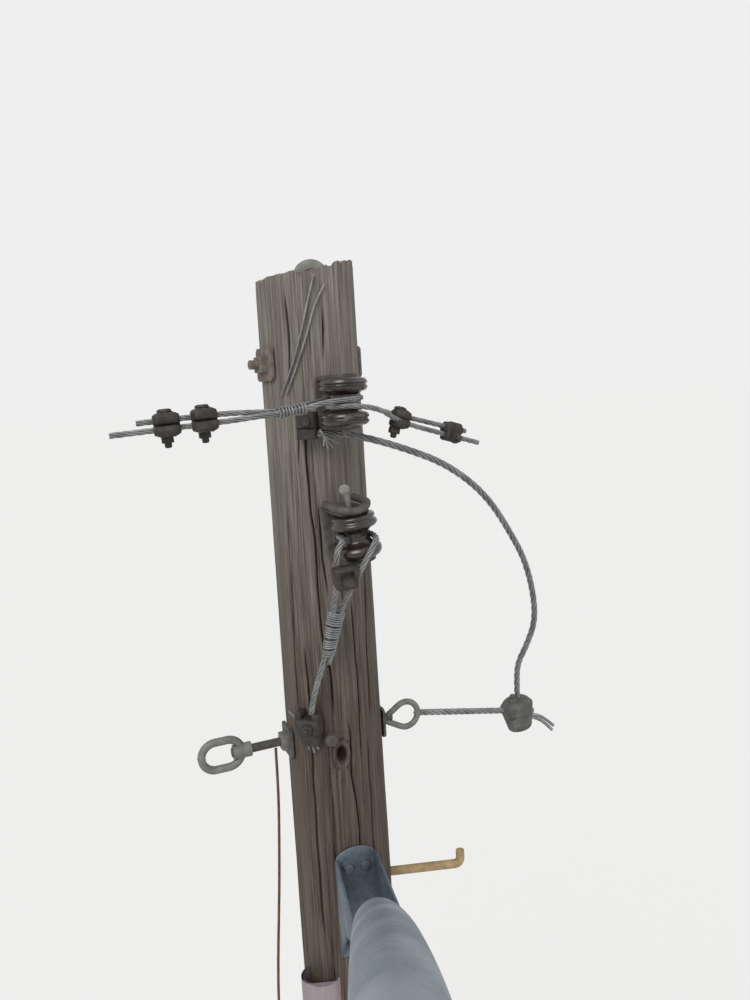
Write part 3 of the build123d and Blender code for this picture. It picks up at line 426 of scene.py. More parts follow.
class Builder:
    """Shared ways to shape a mesh with bmesh and hand it to the frame."""

    def ease(self, bm: bmesh.types.BMesh, geom: Sequence, offset: float, segments: int = 2,
             affect: str = "EDGES") -> list[bmesh.types.BMVert]:
        """Round edges or corners by an offset in metres and return the new vertices."""
        return bmesh.ops.bevel(bm, geom=geom, offset=offset, segments=segments, profile=0.5,
                               affect=affect, material=-1)["verts"]

    def sharp_edges(self, verts: Iterable[bmesh.types.BMVert], angle: float) -> list[bmesh.types.BMEdge]:
        """Edges at these vertices whose faces meet at more than an angle in radians."""
        return [e for e in {e for v in verts for e in v.link_edges} if e.calc_face_angle(0.0) > angle]

    def pull(self, bm: bmesh.types.BMesh,
             edges: Sequence[bmesh.types.BMEdge]) -> tuple[list[bmesh.types.BMVert], list[bmesh.types.BMEdge]]:
        """Extrude a ring of edges in place and return its new vertices and edges."""
        out = bmesh.ops.extrude_edge_only(bm, edges=edges)["geom"]
        return ([v for v in out if isinstance(v, bmesh.types.BMVert)],
                [e for e in out if isinstance(e, bmesh.types.BMEdge)])

    def slab(self, bm: bmesh.types.BMesh, outline: Iterable[Point], along: Point) -> list[bmesh.types.BMVert]:
        """Plate that is extruded from its outline.

        Args:
            bm: The mesh that it joins.
            outline: Corners of one face, in millimetres.
            along: Way and thickness of the plate, in millimetres.

        Returns:
            The plate's vertices.
        """
        ring = [bm.verts.new(Vector(corner) * MM) for corner in outline]
        face = bmesh.ops.contextual_create(bm, geom=ring)["faces"]
        out = bmesh.ops.extrude_face_region(bm, geom=face)["geom"]
        verts = [v for v in out if isinstance(v, bmesh.types.BMVert)]
        bmesh.ops.translate(bm, verts=verts, vec=Vector(along) * MM)
        return ring + verts

    def box(self, bm: bmesh.types.BMesh, size: Point, centre: Point, round_mm: float = 0.0,
            segments: int = 3) -> list[bmesh.types.BMVert]:
        """Block with rounded edges.

        Args:
            bm: The mesh that it joins.
            size: Lengths along X, Y and Z, in millimetres.
            centre: Its centre, in millimetres.
            round_mm: Radius of the edges.
            segments: Steps of the rounding.

        Returns:
            The block's vertices.
        """
        place = Matrix.Translation(Vector(centre) * MM) @ Matrix.Diagonal((*[s * MM for s in size], 1.0))
        made = bmesh.ops.create_cube(bm, size=1.0, matrix=place)["verts"]
        if round_mm:
            made = self.ease(bm, list({e for v in made for e in v.link_edges}), round_mm * MM, segments)
        return made

    def rod(self, bm: bmesh.types.BMesh, start: Vector, end: Vector, radius: float, sides: int = 24,
            edge: float = 0.0, tip: float | None = None) -> None:
        """Round or many-sided bar between two points, all in metres.

        Args:
            bm: The mesh that it joins.
            start: Centre of its first end.
            end: Centre of its second end.
            radius: Radius, out to the corners.
            sides: Number of sides.
            edge: Bevel round both ends.
            tip: Radius of the second end, where it tapers.
        """
        run = end - start
        place = Matrix.Translation((start + end) / 2) @ run.to_track_quat("Z", "Y").to_matrix().to_4x4()
        made = bmesh.ops.create_cone(bm, cap_ends=True, segments=sides, radius1=radius,
                                     radius2=radius if tip is None else tip, depth=run.length,
                                     matrix=place)["verts"]
        if edge:
            caps = [e for e in {e for v in made for e in v.link_edges}
                    if any(len(f.verts) > 4 for f in e.link_faces)]
            self.ease(bm, caps, edge)

    def bar(self, bm: bmesh.types.BMesh, start: Point, end: Point, radius: float, sides: int = 24,
            edge: float = 0.0, tip: float | None = None) -> None:
        """The same as rod, with all its lengths in millimetres."""
        self.rod(bm, Vector(start) * MM, Vector(end) * MM, radius * MM, sides, edge * MM,
                 None if tip is None else tip * MM)

    def nut(self, bm: bmesh.types.BMesh, start: Point, end: Point, across: float) -> None:
        """Hexagonal nut or head between two points in millimetres, with eased corners."""
        self.bar(bm, start, end, across / math.sqrt(3), 6, across * 0.06)

    def sweep(self, bm: bmesh.types.BMesh, path: Sequence[Vector], radius: float, sides: int = 16,
              closed: bool = False) -> None:
        """Round bar extruded along a path and carried round its bends without twist.

        Args:
            bm: The mesh that it joins.
            path: Its centreline, in metres.
            radius: Radius of the section, in metres.
            sides: Number of sides of the section.
            closed: Whether the last point joins the first one.
        """
        count = len(path)
        across = (path[1] - path[0]).orthogonal().normalized()
        frames: list[Matrix] = []
        for index, point in enumerate(path):
            after = path[(index + 1) % count] if closed else path[min(index + 1, count - 1)]
            before = path[index - 1] if closed else path[max(index - 1, 0)]
            ahead = (after - before).normalized()
            across = (across - ahead * across.dot(ahead)).normalized()
            frames.append(frame_at(point, across, ahead.cross(across), ahead))
        verts = bmesh.ops.create_circle(bm, cap_ends=not closed, radius=radius, segments=sides,
                                        matrix=frames[0])["verts"]
        first = edges = list({e for v in verts for e in v.link_edges})
        for before, after in zip(frames, frames[1:]):
            verts, edges = self.pull(bm, edges)
            bmesh.ops.transform(bm, matrix=after @ before.inverted(), verts=verts)
        if closed:
            bmesh.ops.bridge_loops(bm, edges=first + edges)
        else:
            bmesh.ops.contextual_create(bm, geom=edges)

    def smooth_path(self, points: Sequence[Vector], steps: int = 8, closed: bool = False) -> list[Vector]:
        """Points of a smooth line through the given ones.

        Args:
            points: Points that the line passes.
            steps: Steps between two of them.
            closed: Whether the last point joins the first one.

        Returns:
            The line's points.
        """
        count = len(points)
        pick = (lambda i: points[i % count]) if closed else (lambda i: points[min(max(i, 0), count - 1)])
        line: list[Vector] = []
        for index in range(count if closed else count - 1):
            a, b, c, d = (pick(index + shift) for shift in (-1, 0, 1, 2))
            for step in range(steps):
                t = step / steps
                line.append(0.5 * (2 * b + (c - a) * t + (2 * a - 5 * b + 4 * c - d) * t * t
                                   + (3 * b - a - 3 * c + d) * t ** 3))
        return line if closed else line + [points[-1]]

    def piece(self, name: str, bm: bmesh.types.BMesh, slot: Slot, replaces: Sequence[str] = (),
              place: Matrix | None = None, smooth: float = 35.0,
              finish: Finish | None = None) -> bpy.types.Object:
        """Turn a bmesh into a dressed piece that rides on the root body.

        Args:
            name: Name of the piece.
            bm: Its mesh, freed here.
            slot: The record's slot whose finish it wears.
            replaces: CAD nodes that it stands for.
            place: Frame in which the mesh was made.
            smooth: Edges sharper than this angle, in degrees, stay sharp.
            finish: A finish of its own, in place of the slot's.

        Returns:
            The new object, at the origin.
        """
        if place is not None:
            bmesh.ops.transform(bm, matrix=place, verts=bm.verts)
        bmesh.ops.recalc_face_normals(bm, faces=bm.faces)
        for face in bm.faces:
            face.smooth = True
        for line in bm.edges:
            if len(line.link_faces) == 2 and line.calc_face_angle() > math.radians(smooth):
                line.smooth = False
        mesh = bpy.data.meshes.new(name)
        bm.to_mesh(mesh)
        bm.free()
        return self.dress(name, mesh, slot, replaces, finish)

    def dress(self, name: str, mesh: bpy.types.Mesh, slot: Slot,
              replaces: Sequence[str] = (), finish: Finish | None = None) -> bpy.types.Object:
        """Give a finished mesh its object, the finish of its slot or its own finish, and its body."""
        mesh.materials.clear()
        mesh.materials.append((finish or FINISH_OF[slot]).material())
        made = bpy.data.objects.new(name, mesh)
        bpy.context.scene.collection.objects.link(made)
        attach(made, "root")
        if replaces:
            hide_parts(*replaces)
        log.info("%s: %d faces, %s", name, len(mesh.polygons), slot.value)
        return made


@dataclass
class WoodShaft(Builder):
    """The shaft: a finely modelled top part and a plainer part that goes down to the ground.

    Places on it are an azimuth in degrees, 0 at the front and rising to the
    right, and a drop in millimetres below the middle of the top.
    """

    segments: int = 372
    top_rows: int = 214
    low_rows: int = 130
    cap_rings: int = 22
    split_height: float = 10250.0
    slant_degrees: float = 11.0
    high_azimuth: float = 102.0
    top_raise: float = 17.5
    ragged_height: float = 26.0
    groove: tuple[float, float] = (19.5, -87.0)
    groove_way: tuple[float, float] = (0.341, 0.940)
    groove_half_width: float = 4.5
    groove_depth: float = 12.0
    dip_side: float = -12.0
    dip_half_width: float = 26.0
    dip_depth: float = 9.0
    knot: tuple[float, float] = (-11.7, 851.0)
    knot_half_size: tuple[float, float] = (9.0, 14.0)
    layers: tuple[tuple[float, int, float], ...] = ((0.5, 9, 900.0), (0.9, 30, 420.0), (0.9, 96, 150.0),
                                                    (0.6, 190, 70.0))
    checks: tuple[tuple[tuple[float, float], ...], ...] = (
        ((-30.5, 205), (-29.1, 279), (-28.8, 398), (-26.3, 457), (-26, 595), (-23.1, 660), (-18.5, 684),
         (-18.6, 790)),
        ((-5.3, 777), (0.3, 811), (-1.3, 879), (3.6, 999), (2.0, 1120)),
        ((-19.4, 383), (-19.4, 489), (-13.6, 562)),
        ((37.5, 504), (33.2, 651), (29.2, 803)),
        ((-58, 490), (-62, 637), (-65, 790)),
        ((-36.6, 244), (-38.2, 330)),
        ((-0.3, 46), (-2.5, 146)),
        ((-42.0, 20), (-41.0, 120), (-43.5, 190)),
        ((12.0, 560), (14.0, 700), (12.5, 880)),
        ((-47.0, 640), (-46.0, 800), (-49.0, 1010), (-47.0, 1230)),
        ((24.0, 830), (22.0, 1010), (25.0, 1260)))
    check_size: tuple[float, float] = (6.5, 1.3)
    seed: int = 11

    def lattice(self, rng: np.random.Generator, turn: np.ndarray, height: np.ndarray, cells: int,
                length: float) -> np.ndarray:
        """Smooth noise from 0 to 1 that closes round the shaft.

        Args:
            rng: Seeded random numbers.
            turn: Share of a full turn of each vertex.
            height: Millimetres above the ground.
            cells: Number of cells round the shaft.
            length: Length of a cell along the shaft, in millimetres.

        Returns:
            One value for each vertex.
        """
        rows = int(12200 / length) + 3
        values = rng.random((cells, rows))
        across = (turn % 1.0) * cells
        i = np.floor(across).astype(int)
        up = np.maximum(height, 0.0) / length
        j = np.floor(up).astype(int)
        s, t = across - i, up - j
        s, t = s * s * (3 - 2 * s), t * t * (3 - 2 * t)
        i, k = i % cells, (i + 1) % cells
        low = values[i, j] * (1 - s) + values[k, j] * s
        high = values[i, j + 1] * (1 - s) + values[k, j + 1] * s
        return low * (1 - t) + high * t

    def rim_height(self, azimuth: np.ndarray) -> np.ndarray:
        """Height of the slanted top's rim above the nominal top, in millimetres."""
        lean = math.tan(math.radians(self.slant_degrees))
        return self.top_raise + TOP_RADIUS * lean * np.cos(np.radians(azimuth - self.high_azimuth))

    def check_lines(self, rng: np.random.Generator) -> list[tuple[np.ndarray, float, float]]:
        """Every check in the wood: the marked ones, short fine ones high up and long ones low down.

        Args:
            rng: Seeded random numbers.

        Returns:
            Places along each check, its depth and its half width in millimetres.
        """
        lines = [(np.array(line), *self.check_size) for line in self.checks]
        for count, starts, drift, lengths, depths, widths in (
                (90, (0, 1350), 2, (60, 330), (1.2, 2.8), (0.7, 1.1)),
                (130, (1300, 11000), 3, (300, 1600), (2.0, 5.0), (1.2, 2.0))):
            for _ in range(count):
                start = rng.uniform(*starts)
                at = rng.uniform(-180, 180)
                end = (at + rng.uniform(-drift, drift), start + rng.uniform(*lengths))
                lines.append((np.array([(at, start), end]), rng.uniform(*depths), rng.uniform(*widths)))
        return lines

    def knot_marks(self, across: np.ndarray, along: np.ndarray) -> tuple[np.ndarray, np.ndarray]:
        """The knot's hole and the grain that bends round it.

        Args:
            across: Millimetres sideways of the knot's middle.
            along: Millimetres below it.

        Returns:
            Inward depth in millimetres, and darkness from 0 to 1: painted shade in the hole and dark grain rings
            round it.
        """
        ring = np.hypot(across / self.knot_half_size[0], along / self.knot_half_size[1])
        hole = np.clip(1.35 - ring, 0, 1)
        swirl = np.exp(-((ring - 2.0) / 1.1) ** 2) * (1.0 + 0.5 * np.cos(ring * 11.0))
        circles = np.clip(np.cos(ring * 6.0) * 1.6 - 0.6, 0, 1) * np.exp(-((ring - 2.0) / 1.0) ** 2)
        return 15.0 * hole - 1.6 * swirl, np.maximum(np.clip(hole * 2.6, 0, 1), 0.75 * circles)

    def wear(self, azimuth: np.ndarray, height: np.ndarray) -> tuple[np.ndarray, np.ndarray]:
        """How deep the weather has worn each vertex, and the darkness painted on it: shade in checks and the knot
        hole, and the knot's grain rings.

        Args:
            azimuth: Degrees round the shaft.
            height: Millimetres above the ground.

        Returns:
            Inward depth in millimetres and darkness from 0 to 1, the painted shade deepest where a check is
            deepest.
        """
        rng = np.random.default_rng(self.seed)
        turn = azimuth / 360.0
        drop = POLE_TOP - height
        depth = sum(deep * self.lattice(rng, turn, height, cells, length) for deep, cells, length in self.layers)
        meander = 3.0 * (self.lattice(rng, np.zeros_like(turn), height, 3, 45.0) - 0.5)
        radius = surface_radius(height)
        dark = np.zeros_like(depth)
        for line, deep, wide in self.check_lines(rng):
            first, last = line[0, 1], line[-1, 1]
            centre = np.interp(drop, line[:, 1], line[:, 0])
            off = (np.mod(azimuth - centre + 180.0, 360.0) - 180.0) * np.pi / 180.0 * radius + meander
            share = np.clip((drop - first) / 50.0, 0, 1) * np.clip((last - drop) / 50.0, 0, 1)
            shape = share * np.exp(-(off / wide) ** 2)
            depth += deep * shape
            # Painted shade: the deeper the check, the darker.
            dark = np.maximum(dark, np.clip(shape * deep / 4.0, 0, 1))
        off_knot = (azimuth - self.knot[0]) * np.pi / 180.0 * radius
        knot_depth, knot_shade_and_rings = self.knot_marks(off_knot, drop - self.knot[1])
        ragged = np.clip((self.ragged_height - (drop + self.rim_height(azimuth))) / self.ragged_height, 0, 1)
        teeth = self.lattice(rng, turn, height, 66, 9.0) ** 2
        depth += knot_depth + 0.8 + ragged ** 2 * (4.5 * teeth - 1.0)
        return np.maximum(depth, -1.5), np.maximum(dark, knot_shade_and_rings)

    def top_wear(self, azimuth: np.ndarray, reach: np.ndarray) -> tuple[np.ndarray, np.ndarray]:
        """Saw marks, the groove and the dip before the eye, and the splits in the sawn top.

        Args:
            azimuth: Degrees round the shaft.
            reach: Share of the shaft's radius, 1 at the rim.

        Returns:
            Millimetres worn down from the slanted plane, and how open each split is.
        """
        rng = np.random.default_rng(self.seed + 5)
        turn, angle = azimuth / 360.0, np.radians(azimuth)
        saw = self.lattice(rng, turn, reach * 600.0, 62, 60.0)
        right, near = np.sin(angle) * reach * TOP_RADIUS, np.cos(angle) * reach * TOP_RADIUS
        off_groove = ((right - self.groove[0]) * self.groove_way[1]
                      + (near + self.groove[1]) * self.groove_way[0]) / self.groove_half_width
        off_dip = (right - self.dip_side) / self.dip_half_width
        worn = 10.0 * saw ** 2 * np.clip(reach * 1.6 - 0.5, 0, 1) + 0.6
        worn += self.groove_depth * np.exp(-off_groove ** 2)
        worn += self.dip_depth * np.exp(-off_dip ** 4) * np.clip((near - 50.0) / 20.0, 0, 1)
        split = self.lattice(rng, turn, np.zeros_like(reach), 26, 60.0) > 0.86
        return worn, split * np.clip(reach * 3 - 0.8, 0, 1)

    def column(self, bm: bmesh.types.BMesh, rows: int, floored: bool, capped: bool) -> None:
        """Column 1 high and 1 in radius, its ring extruded upwards and, on a cap, inwards.

        Args:
            bm: The mesh that it joins.
            rows: Number of rows of faces.
            floored: Whether its lower end is closed.
            capped: Whether its upper end is closed.
        """
        ring = bmesh.ops.create_circle(bm, cap_ends=floored, radius=1.0, segments=self.segments)["verts"]
        edges = list({e for v in ring for e in v.link_edges if len(e.link_faces) < 2})
        for _ in range(rows):
            verts, edges = self.pull(bm, edges)
            bmesh.ops.translate(bm, verts=verts, vec=(0, 0, 1.0 / rows))
        if capped:
            for inner in range(self.cap_rings):
                verts, edges = self.pull(bm, edges)
                share = 1.0 - (inner + 1) / (self.cap_rings + 0.6)
                now = max(v.co.xy.length for v in verts)
                bmesh.ops.scale(bm, verts=verts, vec=(share / now, share / now, 1.0))
            bmesh.ops.contextual_create(bm, geom=edges)

    def grow(self, name: str, low: float, high: float, rows: int, replaces: Sequence[str]) -> bpy.types.Object:
        """Build one length of the shaft from a plain column and wear it down.

        Args:
            name: Name of the piece.
            low: Height of its lower end, in millimetres.
            high: Height of its upper end.
            rows: Number of rows of faces.
            replaces: CAD nodes that it stands for.

        Returns:
            The new piece.
        """
        bm = bmesh.new()
        at_top = high >= POLE_TOP
        self.column(bm, rows, low == 0.0, at_top)
        bm.verts.ensure_lookup_table()
        places = np.array([v.co for v in bm.verts])
        azimuth = np.degrees(np.arctan2(places[:, 0], -places[:, 1]))
        share, reach = places[:, 2], np.hypot(places[:, 0], places[:, 1])
        cap = (reach < 0.9999) & (share > 0.999)
        rim = self.rim_height(azimuth) if at_top else np.zeros_like(azimuth)
        height = low + (high + rim - low) * share
        depth, dark = self.wear(azimuth, height)
        radius = np.where(cap, surface_radius(high), surface_radius(height) - depth) * reach
        if at_top:
            worn, split = self.top_wear(azimuth, reach)
            height = np.where(cap, high + self.top_raise + (rim - self.top_raise) * reach - 3.0 * split, height)
            height -= np.where(share > 0.999, worn, 0.0)
            # Painted shade in the top's open splits.
            dark = np.where(cap, 0.8 * split, dark)
        turn = np.radians(azimuth)
        moved = np.stack((np.sin(turn) * radius, -np.cos(turn) * radius, height), axis=1) * MM
        check = bm.verts.layers.float.new("check")
        grain = bm.verts.layers.float.new("end_grain")
        for vert, place, tone, end in zip(bm.verts, moved, dark, cap):
            vert.co = place
            vert[check] = float(tone)
            vert[grain] = float(end)
        return self.piece(name, bm, Slot.WOOD, replaces, smooth=60.0)

    def build(self) -> None:
        """Make both lengths of the shaft."""
        self.grow("shaft_upper", self.split_height, POLE_TOP, self.top_rows, ["pole_shaft"])
        self.grow("shaft_lower", 0.0, self.split_height, self.low_rows, [])


@dataclass
class StrandedWire(Builder):
    """Bare wire laid up from strands that wind round the smooth line of its route."""

    name: str
    node: str
    route: list[Point]
    diameter: float
    strands: int = 5
    lay: float = 70.0
    sides: int = 3
    step: float = 4.0

    def centreline(self) -> list[Vector]:
        """Points along the smooth line of the route, read from its spline."""
        curve = bpy.data.curves.new(self.name + "_line", "CURVE")
        curve.dimensions = "3D"
        spline = curve.splines.new("NURBS")
        points = below_top(self.route)
        spline.points.add(len(points) - 1)
        for point, at in zip(spline.points, points):
            point.co = (*at, 1.0)
        spline.order_u = 3
        spline.use_endpoint_u = True
        spline.resolution_u = 24
        holder = bpy.data.objects.new(self.name + "_line", curve)
        mesh = bpy.data.meshes.new_from_object(holder)
        line = [v.co.copy() for v in mesh.vertices]
        bpy.data.objects.remove(holder)
        bpy.data.curves.remove(curve)
        bpy.data.meshes.remove(mesh)
        return line

    def spaced(self, line: Sequence[Vector]) -> list[Vector]:
        """The same line with its points an even step apart."""
        along = np.concatenate(([0.0], np.cumsum([(b - a).length for a, b in zip(line, line[1:])])))
        count = max(3, int(along[-1] / (self.step * MM)))
        at = np.linspace(0.0, along[-1], count)
        flat = np.array(line)
        return [Vector(np.array([np.interp(s, along, flat[:, axis]) for axis in range(3)])) for s in at]

    def twist(self, line: Sequence[Vector]) -> list[list[Vector]]:
        """Paths of the strands, wound round the line without any twist of its own."""
        ring = self.diameter * MM / 2 - self.strand_radius()
        across = (line[1] - line[0]).orthogonal().normalized()
        paths: list[list[Vector]] = [[] for _ in range(self.strands)]
        gone = 0.0
        for index, point in enumerate(line):
            ahead = (line[min(index + 1, len(line) - 1)] - line[max(index - 1, 0)]).normalized()
            across = (across - ahead * across.dot(ahead)).normalized()
            other = ahead.cross(across)
            if index:
                gone += (point - line[index - 1]).length
            for number, path in enumerate(paths):
                turn = math.tau * (gone / (self.lay * MM) + number / self.strands)
                path.append(point + (across * math.cos(turn) + other * math.sin(turn)) * ring)
        return paths

    def strand_radius(self) -> float:
        """Radius at which the strands just touch each other, in metres."""
        sine = math.sin(math.pi / self.strands)
        return self.diameter * MM / 2 * sine / (1 + sine) * 0.97

    def tubes(self, paths: Iterable[Sequence[Vector]], radius: float) -> bpy.types.Mesh:
        """One mesh of round tubes along the paths."""
        curve = bpy.data.curves.new(self.name, "CURVE")
        curve.dimensions = "3D"
        curve.bevel_depth = radius
        curve.bevel_resolution = self.sides - 1
        curve.use_fill_caps = True
        for path in paths:
            spline = curve.splines.new("POLY")
            spline.points.add(len(path) - 1)
            for point, at in zip(spline.points, path):
                point.co = (*at, 1.0)
            spline.use_smooth = True
        holder = bpy.data.objects.new(self.name + "_tubes", curve)
        mesh = bpy.data.meshes.new_from_object(holder)
        bpy.data.objects.remove(holder)
        bpy.data.curves.remove(curve)
        mesh.name = self.name
        return mesh

    def build(self) -> tuple[bpy.types.Object, list[Vector]]:
        """Make the wire and return it with the line that it follows."""
        line = self.spaced(self.centreline())
        mesh = self.tubes([*self.twist(line), line], self.strand_radius())
        for face in mesh.polygons:
            face.use_smooth = True
        return self.dress(self.name, mesh, Slot.STRAND, [self.node]), line


@dataclass
class LineWires:
    """The bare wires that end on the spools, the eye and the clamps."""

    ring: float = 26.8
    spool_y: float = -165.0
    line_diameter: float = 9.0
    loop_diameter: float = 10.5
    messenger_diameter: float = 13.0
    jumper_diameter: float = 12.5
    jumper_lay: float = 82.0
    front: float = field(init=False)
    back: float = field(init=False)

    def __post_init__(self) -> None:
        """Work out the front and back of a turn round a waist."""
        self.front = self.spool_y - self.ring
        self.back = self.spool_y + self.ring

    def left(self) -> list[Point]:
        """Left main wire, its turn round the upper spool and its tail."""
        return [(-365, -182, -247), (-205, -182, -238), (-135, -187, -231), (-85, -187, -228),
                (-40, self.front, -216), (self.ring, self.front, -212), (self.ring, self.back, -212),
                (-40, self.back, -214), (-85, -177, -225), (-135, -177, -227), (-205, -182, -224),
                (-327, -182, -232)]

    def right(self) -> list[Point]:
        """Right main wire, its turn round the upper spool and its tail."""
        return [(252, -154, -303), (190, -158, -285), (92, -170, -256), (46, self.front, -228),
                (-self.ring, self.front, -224), (-self.ring, self.back, -224), (46, self.back, -226),
                (80, -156, -240), (190, -158, -271), (226, -156, -281)]

    def loop(self) -> list[Point]:
        """Strand up to the mid spool, round its waist and back down."""
        return [(-70, -90, -762), (-68, -93, -738), (-50, -112, -668), (-38, -121, -625), (-34, -136, -575),
                (-36, -172, -520), (-39, -188, -480), (-37, -190, -452), (-23, -192, -437), (-21, -137, -438),
                (34, -137, -438), (34, -194, -440), (17, -211, -452), (-2, -206, -484), (-12, -180, -520),
                (-23, -138, -575), (-27, -125, -625), (-40, -112, -668)]

    def jumper(self) -> list[Point]:
        """Free jumper from the clamp on the shaft down to the tap clamp."""
        return [(-28.2, -100.7, -269.3), (8.1, -117.6, -269.3), (58, -146, -284), (112, -146, -303),
                (185, -135, -332), (252, -120, -374), (303, -107, -421), (348, -91, -479), (396, -70, -546),
                (425, -54, -620), (437, -42, -688), (426, -26, -741), (411, -10, -786), (414, 0, -826),
                (414, 0, -866)]

    def messenger(self) -> list[Point]:
        """Taut strand from the right eye through the tap clamp."""
        return [(171, 0, -846), (300, 0, -871.6), (452, 0, -902)]

    def build(self) -> None:
        for name, node, route, diameter in (
                ("line_wire_left", "left_line_wire", self.left(), self.line_diameter),
                ("line_wire_right", "right_line_wire", self.right(), self.line_diameter),
                ("spool_loop_wire", "mid_loop_wire", self.loop(), self.loop_diameter),
                ("messenger_wire", "messenger_stub", self.messenger(), self.messenger_diameter)):
            StrandedWire(name, node, route, diameter).build()
        wire = StrandedWire("jumper", "jumper_wire", self.jumper(), self.jumper_diameter, lay=self.jumper_lay)
        piece, line = wire.build()


@dataclass
class ParallelClamp(Builder):
    """Two grooved jaws on a main wire and its tail, drawn together by one bolt."""

    name: str
    node: str
    place: Matrix
    length: float = 35.0
    width: float = 38.0
    height: float = 34.0

    def build(self) -> None:
        """Make the jaws with their ribs, a collar round each wire, the bolt, its washer and its nut."""
        bm = bmesh.new()
        half = self.height / 2
        for side in (-1, 1):
            self.box(bm, (self.length, self.width, half * 0.98), (0, 0, side * half * 0.53), half * 0.4, 5)
            for rib in (-1, 0, 1):
                centre = (rib * self.length * 0.26, -self.width * 0.1, side * (half - 0.4))
                self.box(bm, (3.8, self.width * 0.5, 4.0), centre, 1.8)
            end, level = self.length / 2 + 1.5, side * half * 0.42
            self.bar(bm, (-end, -5.0, level), (end, -5.0, level), 8.0, 28, 1.2)
        bolt, up = Vector((0, 10.5, 0)), Vector((0, 0, 1))
        self.bar(bm, bolt - up * (half + 18), bolt + up * half, 5.4, 20, 2.6)
        self.nut(bm, bolt - up * (half + 10.5), bolt - up * (half + 1.5), 17.0)
        self.bar(bm, bolt - up * (half + 2.0), bolt - up * (half - 0.5), 9.5, 28, 0.5)
        self.bar(bm, bolt * 0.4 + up * (half - 1.5), bolt * 0.4 + up * (half + 6), 11.0, 28, 4.0)
        self.piece(self.name, bm, Slot.CLAMP, [self.node], self.place)


@dataclass
class LineClamps:
    """The four parallel clamps, two on each line wire."""

    wires: LineWires

    def at(self, main: tuple[Point, Point], tail: tuple[Point, Point], x: float, turned: bool) -> Matrix:
        """Frame midway between two wires at an X, with its X along the main wire.

        Args:
            main: Two points of the main wire.
            tail: Two points of its tail.
            x: Where along X the clamp sits, in millimetres.
            turned: Whether the clamp lies on its side.

        Returns:
            The clamp's frame.
        """
        middle = Vector((0, 0, 0))
        for first, last in (main, tail):
            share = (x - first[0]) / (last[0] - first[0])
            middle += (Vector(first) + (Vector(last) - Vector(first)) * share) / 2
        run = (Vector(main[1]) - Vector(main[0])).normalized()
        run = run if run.x > 0 else -run
        side = Vector((0, 0, 1)).cross(run).normalized()
        origin = (middle + Vector((0, 0, POLE_TOP))) * MM
        place = frame_at(origin, run, side, run.cross(side))
        return place @ Matrix.Rotation(math.radians(-90), 4, "X") if turned else place

    def build(self) -> None:
        """Make the four clamps."""
        left, right = self.wires.left(), self.wires.right()
        for name, x in (("left_clamp_inner", -230), ("left_clamp_outer", -285)):
            place = self.at((left[0], left[1]), (left[10], left[11]), x, False)
            ParallelClamp(name + "_jaws", name, place).build()
        inner = self.at((right[1], right[2]), (right[7], right[8]), 98, False)
        outer = self.at((right[0], right[1]), (right[8], right[9]), 197, True)
        ParallelClamp("right_clamp_inner_jaws", "right_clamp_inner", inner, 27.0, 29.0, 29.0).build()
        ParallelClamp("right_clamp_outer_jaws", "right_clamp_outer", outer, 29.0, 33.0, 28.0).build()


